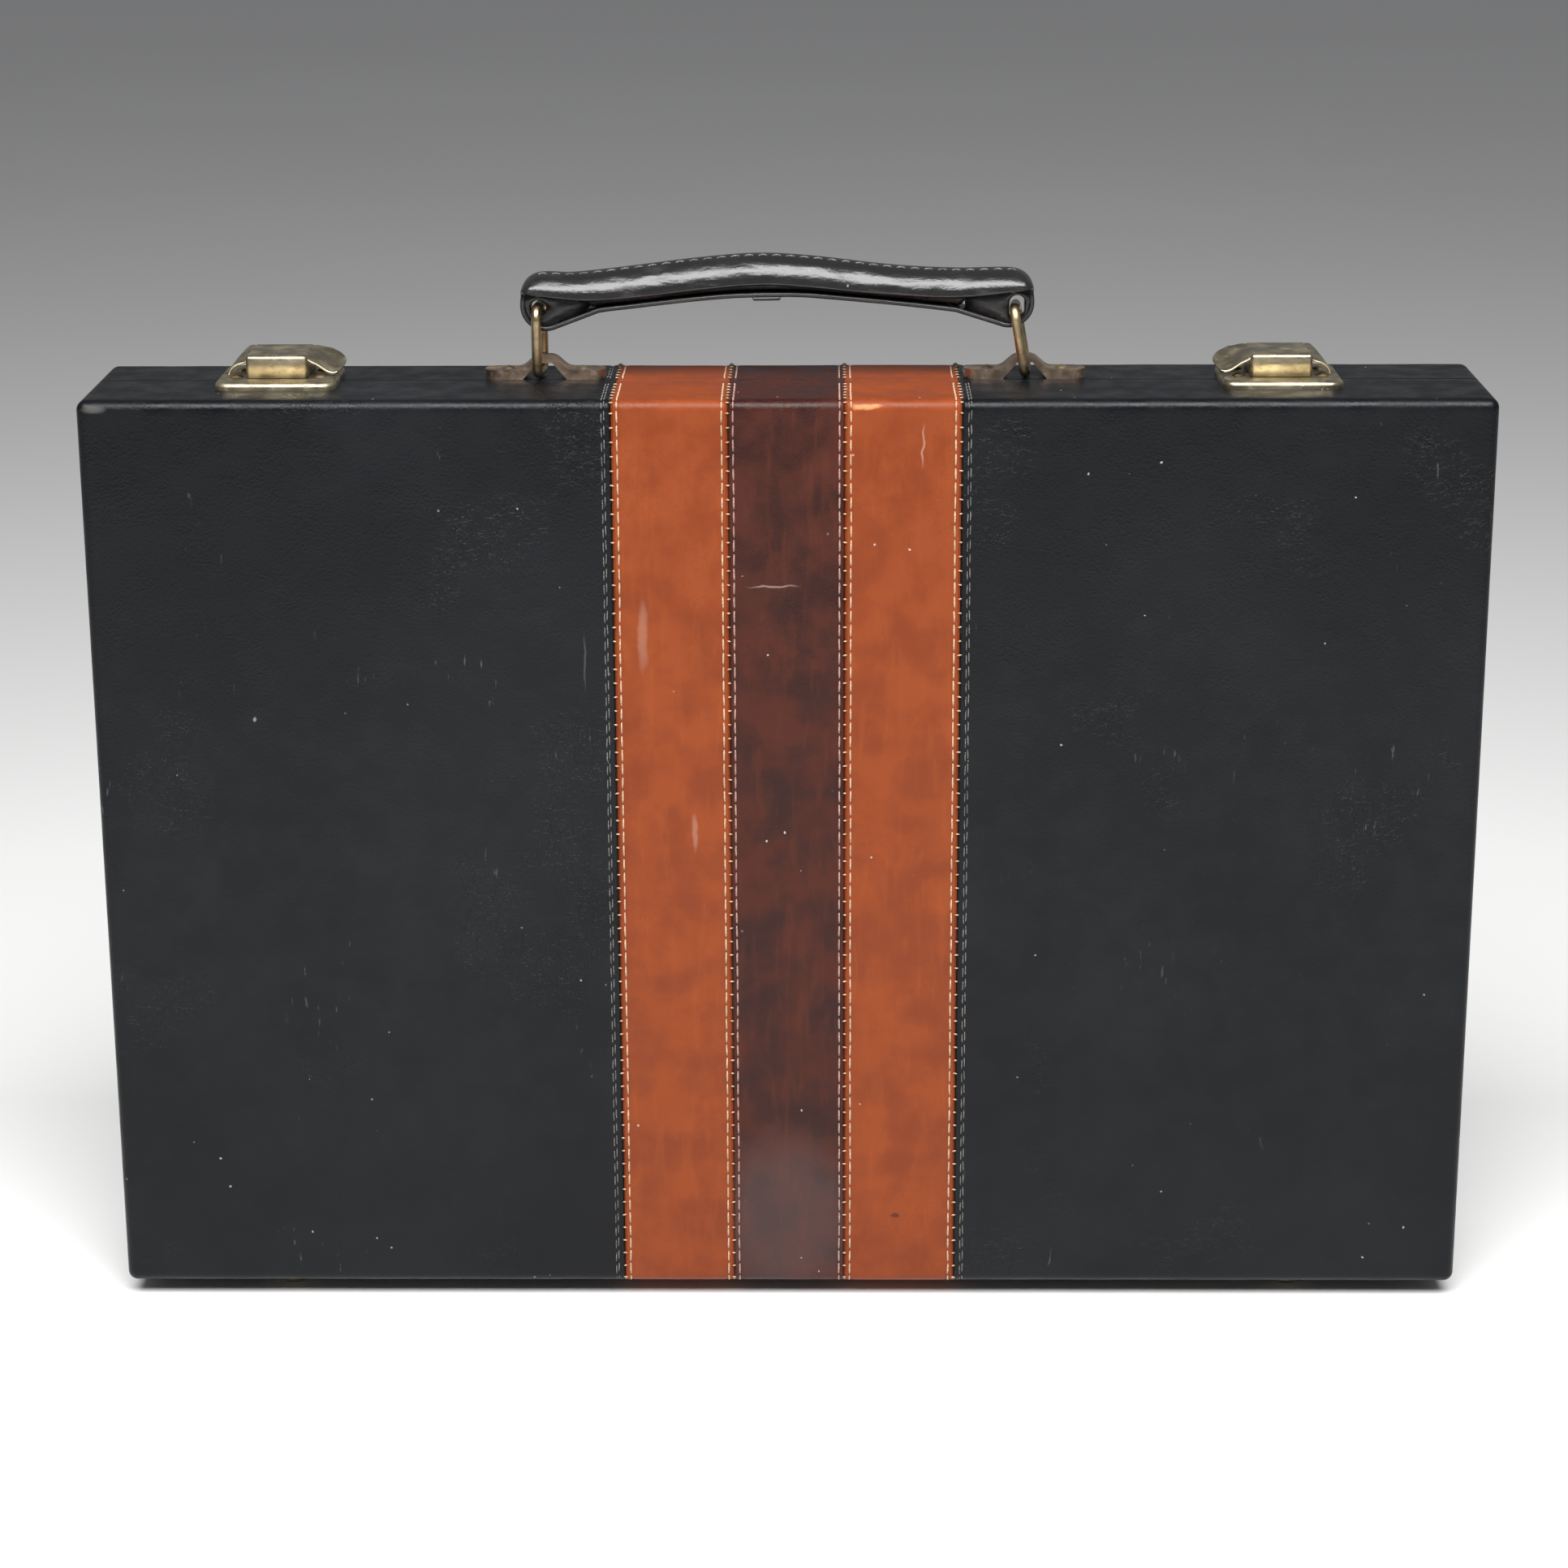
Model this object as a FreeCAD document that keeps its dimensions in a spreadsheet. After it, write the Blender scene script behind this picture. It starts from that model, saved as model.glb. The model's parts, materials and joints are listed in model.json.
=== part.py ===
"""Poker chip case: a striped leatherette attache case that stands on its hinge edge.

Millimetres, +Z up, +X to the right, the lid towards -Y and the base (with the handle) towards +Y.
The origin is on the ground, under the middle of the case.
"""
import FreeCAD
import Part
import math
import os
import Sketcher
from FreeCAD import Placement, Rotation, Vector

DIMENSIONS = {
    # shell of the case
    "case_width": 445.0,
    "case_height": 300.0,
    "lid_depth": 34.5,
    "base_depth": 28.5,
    "parting_gap": 0.4,
    "edge_radius": 3.2,
    "cover_thickness": 0.9,
    "board_thickness": 8.0,
    "panel_thickness": 3.0,
    "lining_thickness": 0.8,
    # stripes of the cover
    "brown_width": 36.5,
    "orange_width": 36.0,
    "seam_gap": 0.4,
    "overlap": 1.0,
    # chip trays, card tray and lid pad
    "fit_gap": 0.4,
    "tray_width": 149.0,
    "tray_height": 21.5,
    "channel_radius": 20.3,
    "channel_length": 142.0,
    "channel_pitch": 44.6,
    "channel_count": 6,
    "channel_floor": 1.2,
    "well_width": 94.0,
    "well_length": 68.0,
    "well_depth": 18.0,
    "dice_well_length": 92.0,
    "well_pitch": 86.0,
    "pad_thickness": 6.0,
    "pad_margin": 3.0,
    # feet and hinges
    "foot_height": 5.4,
    "foot_radius": 6.0,
    "foot_edge": 1.8,
    "foot_spike_radius": 1.2,
    "foot_spike_length": 7.0,
    "base_foot_across": 188.0,
    "lid_foot_across": 168.0,
    "foot_from_parting": 18.0,
    "hinge_across": 130.0,
    "hinge_drop": 2.85,
    "hinge_length": 52.0,
    "hinge_depth": 14.0,
    "leaf_thickness": 1.0,
    "knuckle_radius": 2.1,
    "middle_knuckle": 24.0,
    "knuckle_gap": 0.4,
    "hinge_pin_radius": 1.0,
    "running_gap": 0.05,
    "hinge_rivet_across": 17.0,
    "hinge_rivet_back": 9.5,
    # rivets
    "rivet_radius": 1.2,
    "rivet_head_radius": 2.3,
    "rivet_head_height": 0.9,
    "rivet_length": 6.0,
    "rivet_hole_gap": 0.1,
    # latches
    "latch_across": 159.8,
    "latch_offset": -2.7,
    "plate_width": 38.4,
    "plate_thickness": 2.4,
    "plate_corner": 5.0,
    "plate_edge": 1.5,
    "keeper_length": 17.2,
    "latch_plate_length": 15.1,
    "plate_rivet_across": 13.2,
    "plate_rivet_back": 5.5,
    "keeper_slot_width": 9.0,
    "keeper_slot_length": 2.6,
    "keeper_slot_front": 8.2,
    "sheet": 0.9,
    "hasp_width": 19.5,
    "hasp_front": 9.6,
    "hasp_back": 12.0,
    "hasp_height": 9.7,
    "hasp_lift": 0.2,
    "hasp_nose_radius": 1.2,
    "latch_pin_back": 10.2,
    "latch_pin_height": 5.6,
    "latch_pin_radius": 0.95,
    "latch_pin_overhang": 0.5,
    "hasp_heel": 2.9,
    "heel_drop": 1.0,
    "ear_thickness": 1.0,
    "ear_gap": 0.35,
    "ear_length": 4.6,
    "ear_wall": 1.0,
    "spring_wire": 0.35,
    "spring_radius": 1.75,
    "spring_pitch": 1.0,
    "spring_turns": 7.0,
    "wing_front": 6.6,
    "wing_top_drop": 1.9,
    "wing_reach": 6.7,
    "wing_dip": 1.9,
    "tab_reach": 10.4,
    "tab_front": 3.0,
    "tab_drop": 0.3,
    # handle brackets and rings
    "bracket_across": 77.0,
    "bracket_offset": -0.8,
    "bracket_from_parting": 5.5,
    "bracket_length": 38.8,
    "bracket_depth": 9.2,
    "bracket_foot": 3.0,
    "bracket_height": 7.0,
    "bracket_sheet": 1.6,
    "bracket_corner": 4.4,
    "bracket_bend": 4.4,
    "hump_base": 7.6,
    "hump_top": 3.0,
    "tunnel_base": 7.1,
    "tunnel_top": 2.4,
    "bracket_rivet_across": 11.9,
    "ring_wire_radius": 1.6,
    "ring_bend": 3.6,
    "ring_depth": 13.6,
    "ring_rise": 2.0,
    "ring_height": 21.0,
    "left_ring_shift": -1.7,
    "right_ring_shift": 0.4,
    "ring_twist": 5.0,
    "right_ring_lean": 10.0,
    # handle
    "handle_x": -3.0,
    "handle_tilt": 0.36,
    "handle_half_length": 82.1,
    "handle_width": 18.0,
    "grip_top": 40.2,
    "grip_end_top": 34.8,
    "grip_top_span": 75.0,
    "knee_span": 29.0,
    "shoulder_span": 58.0,
    "grip_bottom": 28.4,
    "grip_low": 24.6,
    "grip_low_span": 57.0,
    "grip_roof": 27.4,
    "grip_roof_span": 66.0,
    "grip_edge": 3.4,
    "strap_width": 8.6,
    "strap_thickness": 1.5,
    "strap_bottom": 26.7,
    "strap_low": 22.8,
    "strap_span": 57.0,
    "loop_radius": 8.0,
    "loop_centre_x": 74.1,
    "loop_centre_z": 24.0,
    "loop_join_x": 3.23,
    "loop_join_z": 7.32,
    "eye_x": 76.35,
    "left_eye_z": 23.5,
    "left_eye_radius": 3.3,
    "right_eye_z": 22.2,
    "right_eye_radius": 3.9,
    "core_width": 10.0,
    "core_thickness": 1.2,
    "core_span": 60.0,
    "core_end_z": 29.0,
    "core_top": 33.5,
    "core_gap": 0.1,
}


class Size:
    """A length that carries its formula over the spreadsheet and its present value."""

    def __init__(self, formula, value):
        self.formula = formula
        self.value = value

    @staticmethod
    def of(other):
        if isinstance(other, Size):
            return other
        return Size(f"{float(other):.6f}", float(other))

    def combined(self, sign, other, value):
        return Size(f"({self.formula} {sign} {other.formula})", value)

    def __add__(self, other):
        other = Size.of(other)
        return self.combined("+", other, self.value + other.value)

    def __sub__(self, other):
        other = Size.of(other)
        return self.combined("-", other, self.value - other.value)

    def __mul__(self, other):
        other = Size.of(other)
        return self.combined("*", other, self.value * other.value)

    def __truediv__(self, other):
        other = Size.of(other)
        return self.combined("/", other, self.value / other.value)

    def __rsub__(self, other):
        return Size.of(other) - self

    def __neg__(self):
        return Size.of(0) - self

    __radd__ = __add__
    __rmul__ = __mul__


class Sheet:
    """The driving dimensions, one attribute each, kept in a spreadsheet of the document."""

    def __init__(self, document, dimensions):
        cells = document.addObject("Spreadsheet::Sheet", "Dims")
        for row, (alias, value) in enumerate(dimensions.items(), start=1):
            cells.set(f"A{row}", alias)
            cells.set(f"B{row}", str(value))
            cells.setAlias(f"B{row}", alias)
            setattr(self, alias, Size(f"Dims.{alias}", float(value)))


doc = FreeCAD.newDocument("chip_case")
d = Sheet(doc, DIMENSIONS)
doc.recompute()
nodes = []

# ---------------------------------------------------------------- places shared by several parts

HALF_WIDTH = d.case_width / 2
CASE_BOTTOM = d.foot_height
CASE_TOP = d.foot_height + d.case_height
FRONT = -(d.lid_depth + d.base_depth) / 2
BACK = (d.lid_depth + d.base_depth) / 2
PARTING = (d.lid_depth - d.base_depth) / 2
LID_RIM = PARTING - d.parting_gap / 2
BASE_RIM = PARTING + d.parting_gap / 2
CARCASS_X = HALF_WIDTH - d.cover_thickness
CARCASS_BOTTOM = CASE_BOTTOM + d.cover_thickness
CARCASS_TOP = CASE_TOP - d.cover_thickness
INSIDE_X = CARCASS_X - d.board_thickness
INSIDE_BOTTOM = CARCASS_BOTTOM + d.board_thickness
INSIDE_TOP = CARCASS_TOP - d.board_thickness
INSIDE_MIDDLE = (INSIDE_BOTTOM + INSIDE_TOP) / 2
BASE_FLOOR = BACK - d.cover_thickness - d.panel_thickness
LID_FLOOR = FRONT + d.cover_thickness + d.panel_thickness
LINED_X = INSIDE_X - d.lining_thickness
LINED_BOTTOM = INSIDE_BOTTOM + d.lining_thickness
LINED_TOP = INSIDE_TOP - d.lining_thickness
HINGE_Z = CASE_BOTTOM - d.hinge_drop
BRACKET_Y = PARTING + d.bracket_from_parting


# ---------------------------------------------------------------- helpers


def bind(thing, prop, size):
    """Ties one property of a document object to its formula."""
    thing.setExpression(prop, Size.of(size).formula)


def move(thing, at):
    for axis, size in zip("xyz", at):
        bind(thing, f"Placement.Base.{axis}", size)


def keep(thing, label):
    """Names a finished sub-part and puts it on the list of nodes."""
    thing.Label = label
    nodes.append(thing)
    return thing


def slab(name, x, y, z):
    """A box between two bounds on each axis."""
    box = doc.addObject("Part::Box", name)
    for prop, (low, high) in zip(("Length", "Width", "Height"), (x, y, z)):
        bind(box, prop, Size.of(high) - low)
    move(box, (x[0], y[0], z[0]))
    return box


def boolean(kind, name, base, tool):
    result = doc.addObject(f"Part::{kind}", name)
    result.Base = base
    result.Tool = tool
    return result


def group(label, members):
    compound = doc.addObject("Part::Compound", label)
    compound.Links = members
    return keep(compound, label)


def rounded_slab(name, x, y, z, radius, open_y):
    """A box with every edge rounded except those of the face at open_y."""
    box = slab(name + "_block", x, y, z)
    doc.recompute()
    edges = [
        (number, radius.value, radius.value)
        for number, edge in enumerate(box.Shape.Edges, start=1)
        if any(abs(v.Point.y - open_y.value) > 1e-6 for v in edge.Vertexes)
    ]
    rounded = doc.addObject("Part::Fillet", name)
    rounded.Base = box
    rounded.Edges = edges
    return rounded


def new_body(label, at, axis=None, angle=None):
    """A PartDesign body at a place given by three sizes, turned about axis by angle degrees."""
    body = doc.addObject("PartDesign::Body", label)
    if axis:
        body.Placement = Placement(Vector(), Rotation(Vector(*axis), angle.value))
        bind(body, "Placement.Rotation.Angle", angle)
    move(body, at)
    return keep(body, label)


def origin_feature(body, role):
    return next(item for item in body.Origin.OriginFeatures if item.Role == role)


def sketch_on(body, name, role, height=0):
    """A sketch on one of the body's own planes, raised along the plane's normal."""
    sketch = body.newObject("Sketcher::SketchObject", name)
    sketch.AttachmentSupport = [(origin_feature(body, role), "")]
    sketch.MapMode = "FlatFace"
    bind(sketch, "AttachmentOffset.Base.z", height)
    return sketch


def tie(sketch, name, kind, geometry, size):
    """Adds a named dimension to a sketch and ties it to its formula."""
    number = sketch.addConstraint(Sketcher.Constraint(kind, *geometry, size.value))
    sketch.renameConstraint(number, name)
    bind(sketch, f"Constraints.{name}", size)


def place_point(sketch, name, side, end, point):
    for axis, size in zip("XY", point):
        tie(sketch, f"{name}{axis}", f"Distance{axis}", (-1, 1, side, end), Size.of(size))


def closed_outline(sketch, points, arcs=None):
    """A closed outline; arcs gives, for a side's number, the point it bends through and its radius."""
    arcs = arcs or {}
    count = len(points)
    flat = [Vector(Size.of(u).value, Size.of(v).value, 0) for u, v in points]
    first = sketch.GeometryCount
    for side in range(count):
        begin, end = flat[side], flat[(side + 1) % count]
        if side in arcs:
            through, _ = arcs[side]
            bend = Vector(Size.of(through[0]).value, Size.of(through[1]).value, 0)
            curve = Part.Arc(begin, bend, end)
        else:
            curve = Part.LineSegment(begin, end)
        sketch.addGeometry(curve, False)
    ends = []
    for side in range(count):
        near = flat[side]
        start_first = sketch.getPoint(first + side, 1).distanceToPoint(near) < 1e-6
        ends.append((1, 2) if start_first else (2, 1))
    for side in range(count):
        after = (side + 1) % count
        joint = (first + side, ends[side][1], first + after, ends[after][0])
        sketch.addConstraint(Sketcher.Constraint("Coincident", *joint))
    for side, point in enumerate(points):
        place_point(sketch, f"P{first + side}", first + side, ends[side][0], point)
    for side, (_, radius) in arcs.items():
        tie(sketch, f"R{first + side}", "Radius", (first + side,), Size.of(radius))


def rectangle(sketch, u, v):
    closed_outline(sketch, [(u[0], v[0]), (u[1], v[0]), (u[1], v[1]), (u[0], v[1])])


def circle(sketch, centre, radius):
    number = sketch.GeometryCount
    middle = Vector(Size.of(centre[0]).value, Size.of(centre[1]).value, 0)
    sketch.addGeometry(Part.Circle(middle, Vector(0, 0, 1), radius.value), False)
    place_point(sketch, f"C{number}", number, 3, centre)
    tie(sketch, f"D{number}", "Radius", (number,), radius)


def arc_radius(half_chord, rise):
    """Radius of the arc over a chord, from half the chord and the arc's rise above it."""
    return (half_chord * half_chord + rise * rise) / (2 * rise)


def pad(body, sketch, length, midplane=False, backwards=False):
    feature = body.newObject("PartDesign::Pad", sketch.Name + "Pad")
    feature.Profile = sketch
    feature.Midplane = midplane
    feature.Reversed = backwards
    bind(feature, "Length", length)
    body.Tip = feature
    return feature


def pocket(body, sketch, length, midplane=False, backwards=False):
    """A pocket that has to take material away."""
    doc.recompute()
    before = body.Shape.Volume
    feature = body.newObject("PartDesign::Pocket", sketch.Name + "Pocket")
    feature.Profile = sketch
    feature.Midplane = midplane
    feature.Reversed = backwards
    bind(feature, "Length", length)
    body.Tip = feature
    doc.recompute()
    if not body.Shape.Volume < before - 1e-3:
        raise RuntimeError(f"{feature.Name} in {body.Label} cuts nothing")
    return feature


def round_edges(body, name, radius, wanted):
    """Rounds the edges of the body's present shape for which wanted(edge) is true."""
    doc.recompute()
    base = body.Tip
    names = [
        f"Edge{number}" for number, edge in enumerate(base.Shape.Edges, start=1) if wanted(edge)
    ]
    feature = body.newObject("PartDesign::Fillet", name)
    feature.Base = (base, names)
    bind(feature, "Radius", radius)
    body.Tip = feature
    return feature


def upright(edge, axis):
    """True for a straight edge along the given axis of its body."""
    if len(edge.Vertexes) < 2:
        return False
    run = edge.Vertexes[1].Point - edge.Vertexes[0].Point
    return run.Length > 1e-6 and abs(abs(run.normalize().dot(axis)) - 1) < 1e-6


def at_level(edge, axis, level):
    """True for an edge whose every end and middle lies at one level along an axis."""
    spots = [vertex.Point for vertex in edge.Vertexes]
    spots.append(edge.valueAt((edge.FirstParameter + edge.LastParameter) / 2))
    return all(abs(spot.dot(axis) - level) < 1e-4 for spot in spots)


X_AXIS = Vector(1, 0, 0)
Y_AXIS = Vector(0, 1, 0)
Z_AXIS = Vector(0, 0, 1)


def rivet(name, at, up):
    """A domed rivet; at is where its head meets the sheet, and the shank runs the other way."""
    way = 1 if up else -1
    cap_radius = arc_radius(d.rivet_head_radius, d.rivet_head_height)
    x, y, z = at
    shank = doc.addObject("Part::Cylinder", name + "_shank")
    bind(shank, "Radius", d.rivet_radius)
    bind(shank, "Height", d.rivet_length)
    move(shank, (x, y, z - d.rivet_length if up else z))
    ball = doc.addObject("Part::Sphere", name + "_ball")
    bind(ball, "Radius", cap_radius)
    move(ball, (x, y, z + way * (d.rivet_head_height - cap_radius)))
    head_box = slab(
        name + "_cut",
        (x - d.rivet_head_radius, x + d.rivet_head_radius),
        (y - d.rivet_head_radius, y + d.rivet_head_radius),
        (z, z + d.rivet_head_height) if up else (z - d.rivet_head_height, z),
    )
    head = boolean("Common", name + "_head", ball, head_box)
    return boolean("Fuse", name, head, shank)


# ---------------------------------------------------------------- boards, panels, covers, linings

COVER_PIECES = {
    "cover_left": (-HALF_WIDTH, -(d.brown_width / 2 + d.orange_width + 2 * d.seam_gap)),
    "orange_band_left": (
        -(d.brown_width / 2 + d.orange_width + d.seam_gap),
        -(d.brown_width / 2 + d.seam_gap),
    ),
    "brown_band": (-d.brown_width / 2, d.brown_width / 2),
    "orange_band_right": (
        d.brown_width / 2 + d.seam_gap,
        d.brown_width / 2 + d.orange_width + d.seam_gap,
    ),
    "cover_right": (d.brown_width / 2 + d.orange_width + 2 * d.seam_gap, HALF_WIDTH),
}


def build_half(half, y, rim):
    """One half of the shell: y is its span, and rim is the end of that span at the parting."""
    outer = rounded_slab(
        f"{half}_outer",
        (-HALF_WIDTH, HALF_WIDTH),
        y,
        (CASE_BOTTOM, CASE_TOP),
        d.edge_radius,
        rim,
    )
    inner_y = (y[0], y[1] - d.cover_thickness) if rim is y[0] else (y[0] + d.cover_thickness, y[1])
    carcass = rounded_slab(
        f"{half}_carcass",
        (-CARCASS_X, CARCASS_X),
        inner_y,
        (CARCASS_BOTTOM, CARCASS_TOP),
        d.edge_radius - d.cover_thickness,
        rim,
    )
    skin = boolean("Cut", f"{half}_skin", outer, carcass)
    for piece, x in COVER_PIECES.items():
        cutter = slab(f"{half}_{piece}_cutter", x, y, (CASE_BOTTOM, CASE_TOP))
        keep(boolean("Common", f"{half}_{piece}", skin, cutter), f"{half}_{piece}")

    if rim is y[0]:
        wall_y, panel_y = (y[0], BASE_FLOOR), (BASE_FLOOR, inner_y[1])
    else:
        wall_y, panel_y = (LID_FLOOR, y[1]), (inner_y[0], LID_FLOOR)
    across = (-CARCASS_X, CARCASS_X)
    boards = {
        "panel": (across, panel_y, (CARCASS_BOTTOM, CARCASS_TOP)),
        "top_board": (across, wall_y, (INSIDE_TOP, CARCASS_TOP)),
        "bottom_board": (across, wall_y, (CARCASS_BOTTOM, INSIDE_BOTTOM)),
        "left_board": ((-CARCASS_X, -INSIDE_X), wall_y, (INSIDE_BOTTOM, INSIDE_TOP)),
        "right_board": ((INSIDE_X, CARCASS_X), wall_y, (INSIDE_BOTTOM, INSIDE_TOP)),
    }
    for piece, spans in boards.items():
        block = slab(f"{half}_{piece}_block", *spans)
        keep(boolean("Common", f"{half}_{piece}", carcass, block), f"{half}_{piece}")

    around = slab(f"{half}_lining_outside", (-INSIDE_X, INSIDE_X), wall_y, (INSIDE_BOTTOM, INSIDE_TOP))
    hollow_y = wall_y if rim is y[0] else (wall_y[0] + d.lining_thickness, wall_y[1])
    hollow = slab(f"{half}_lining_inside", (-LINED_X, LINED_X), hollow_y, (LINED_BOTTOM, LINED_TOP))
    keep(boolean("Cut", f"{half}_lining", around, hollow), f"{half}_lining")


build_half("lid", (FRONT, LID_RIM), LID_RIM)
build_half("base", (BASE_RIM, BACK), BASE_RIM)


# ---------------------------------------------------------------- trays in the base, pad in the lid

TRAY_HEIGHT_Z = LINED_TOP - LINED_BOTTOM - 2 * d.fit_gap
TRAY_X = LINED_X - d.fit_gap - d.tray_width / 2
CARD_TRAY_WIDTH = 2 * (LINED_X - d.tray_width - 2 * d.fit_gap)
TRAY_TOP_Y = BASE_FLOOR - d.tray_height


def chip_tray(label, x):
    """A flocked block with half-round channels along X; its body stands on the tray's open face."""
    body = new_body(label, (x, TRAY_TOP_Y, INSIDE_MIDDLE))
    block = sketch_on(body, label + "_block", "XZ_Plane")
    rectangle(block, (-d.tray_width / 2, d.tray_width / 2), (-TRAY_HEIGHT_Z / 2, TRAY_HEIGHT_Z / 2))
    pad(body, block, d.tray_height, backwards=True)
    axis_depth = d.tray_height - d.channel_floor - d.channel_radius
    lowest = -(d.channel_count - 1) * d.channel_pitch / 2
    round_cut = sketch_on(body, label + "_channel", "YZ_Plane")
    circle(round_cut, (axis_depth, lowest), d.channel_radius)
    cut = pocket(body, round_cut, d.channel_length, midplane=True)
    rows = body.newObject("PartDesign::LinearPattern", label + "_rows")
    rows.Originals = [cut]
    rows.Direction = (origin_feature(body, "Z_Axis"), [""])
    bind(rows, "Length", (d.channel_count - 1) * d.channel_pitch)
    rows.Occurrences = int(d.channel_count.value)
    body.Tip = rows
    return body


def card_tray():
    body = new_body("card_tray", (Size.of(0), TRAY_TOP_Y, INSIDE_MIDDLE))
    block = sketch_on(body, "card_tray_block", "XZ_Plane")
    rectangle(block, (-CARD_TRAY_WIDTH / 2, CARD_TRAY_WIDTH / 2), (-TRAY_HEIGHT_Z / 2, TRAY_HEIGHT_Z / 2))
    pad(body, block, d.tray_height, backwards=True)
    wells = {
        "upper_well": (d.well_pitch, d.well_length),
        "dice_well": (Size.of(0), d.dice_well_length),
        "lower_well": (-d.well_pitch, d.well_length),
    }
    for name, (middle, length) in wells.items():
        mouth = sketch_on(body, name, "XZ_Plane")
        rectangle(mouth, (-d.well_width / 2, d.well_width / 2), (middle - length / 2, middle + length / 2))
        pocket(body, mouth, d.well_depth)
    return body


chip_tray("chip_tray_left", -TRAY_X)
chip_tray("chip_tray_right", TRAY_X)
card_tray()

PAD_BACK = LID_FLOOR + d.lining_thickness
keep(
    slab(
        "lid_pad",
        (-LINED_X + d.pad_margin, LINED_X - d.pad_margin),
        (PAD_BACK, PAD_BACK + d.pad_thickness),
        (LINED_BOTTOM + d.pad_margin, LINED_TOP - d.pad_margin),
    ),
    "lid_pad",
)


# ---------------------------------------------------------------- feet


def foot(name, x, y):
    """A rounded stud with a spike that holds it in the bottom board."""
    disc = doc.addObject("Part::Cylinder", name + "_disc")
    bind(disc, "Radius", d.foot_radius)
    bind(disc, "Height", d.foot_height)
    move(disc, (x, y, Size.of(0)))
    doc.recompute()
    rim = next(
        number
        for number, edge in enumerate(disc.Shape.Edges, start=1)
        if edge.Closed and abs(edge.CenterOfMass.z) < 1e-6
    )
    dome = doc.addObject("Part::Fillet", name + "_dome")
    dome.Base = disc
    dome.Edges = [(rim, d.foot_edge.value, d.foot_edge.value)]
    spike = doc.addObject("Part::Cylinder", name + "_spike")
    bind(spike, "Radius", d.foot_spike_radius)
    bind(spike, "Height", d.foot_spike_length)
    move(spike, (x, y, CASE_BOTTOM - d.overlap))
    return boolean("Fuse", name, dome, spike)


FEET = {
    "base_feet": (d.base_foot_across, PARTING + d.foot_from_parting),
    "lid_feet": (d.lid_foot_across, PARTING - d.foot_from_parting),
}
for feet, (across, foot_y) in FEET.items():
    pair = [foot(f"{feet}_{side}", way * across, foot_y) for side, way in (("left", -1), ("right", 1))]
    group(feet, pair)


# ---------------------------------------------------------------- hinges


def hinge_leaf(label, x, way, knuckles):
    """One leaf on the underside of a bottom board; way is +1 for the base and -1 for the lid.

    knuckles are the leaf's own spans along the pin.
    """
    body = new_body(label, (x, PARTING, HINGE_Z))
    top = d.hinge_drop
    under = d.hinge_drop - d.leaf_thickness
    clear = d.knuckle_radius + d.knuckle_gap
    plate = sketch_on(body, label + "_plate", "XY_Plane", under)
    near, far = (clear, clear + d.hinge_depth) if way > 0 else (-clear - d.hinge_depth, -clear)
    rectangle(plate, (-d.hinge_length / 2, d.hinge_length / 2), (near, far))
    pad(body, plate, d.leaf_thickness)
    for number, (begin, end) in enumerate(knuckles):
        neck = sketch_on(body, f"{label}_neck{number}", "XY_Plane", under)
        span = (Size.of(0), clear + d.overlap) if way > 0 else (-clear - d.overlap, Size.of(0))
        rectangle(neck, (begin, end), span)
        pad(body, neck, top - under)
        barrel = sketch_on(body, f"{label}_barrel{number}", "YZ_Plane", begin)
        circle(barrel, (Size.of(0), Size.of(0)), d.knuckle_radius)
        pad(body, barrel, end - begin)
    bore = sketch_on(body, label + "_bore", "YZ_Plane")
    circle(bore, (Size.of(0), Size.of(0)), d.hinge_pin_radius + d.running_gap)
    pocket(body, bore, 2 * d.hinge_length, midplane=True)
    holes = sketch_on(body, label + "_holes", "XY_Plane")
    for side in (-1, 1):
        circle(
            holes,
            (side * d.hinge_rivet_across, way * d.hinge_rivet_back),
            d.rivet_radius + d.rivet_hole_gap,
        )
    pocket(body, holes, 2 * d.hinge_drop, midplane=True)
    return body


def build_hinge(side, x):
    outer, inner = d.hinge_length / 2, d.middle_knuckle / 2
    hinge_leaf(
        f"hinge_{side}_base_leaf",
        x,
        1,
        [(-outer, -inner - d.knuckle_gap), (inner + d.knuckle_gap, outer)],
    )
    hinge_leaf(f"hinge_{side}_lid_leaf", x, -1, [(-inner, inner)])
    pin = doc.addObject("Part::Cylinder", f"hinge_{side}_pin")
    bind(pin, "Radius", d.hinge_pin_radius)
    bind(pin, "Height", d.hinge_length)
    pin.Placement = Placement(Vector(), Rotation(Y_AXIS, 90))
    move(pin, (x - d.hinge_length / 2, PARTING, HINGE_Z))
    keep(pin, f"hinge_{side}_pin")


HINGES = {"left": -d.hinge_across, "right": d.hinge_across}
for side, hinge_x in HINGES.items():
    build_hinge(side, hinge_x)

for half, way in (("base", 1), ("lid", -1)):
    group(
        f"{half}_hinge_rivets",
        [
            rivet(
                f"{half}_hinge_rivet_{side}_{end}",
                (
                    hinge_x + along * d.hinge_rivet_across,
                    PARTING + way * d.hinge_rivet_back,
                    CASE_BOTTOM - d.leaf_thickness,
                ),
                up=False,
            )
            for side, hinge_x in HINGES.items()
            for end, along in (("outer", -1), ("inner", 1))
        ],
    )


# ---------------------------------------------------------------- latches

LATCHES = {"left": (d.latch_offset - d.latch_across, 1), "right": (d.latch_offset + d.latch_across, -1)}
PLATE_HALF = d.plate_width / 2
HASP_HALF = d.hasp_width / 2


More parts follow.
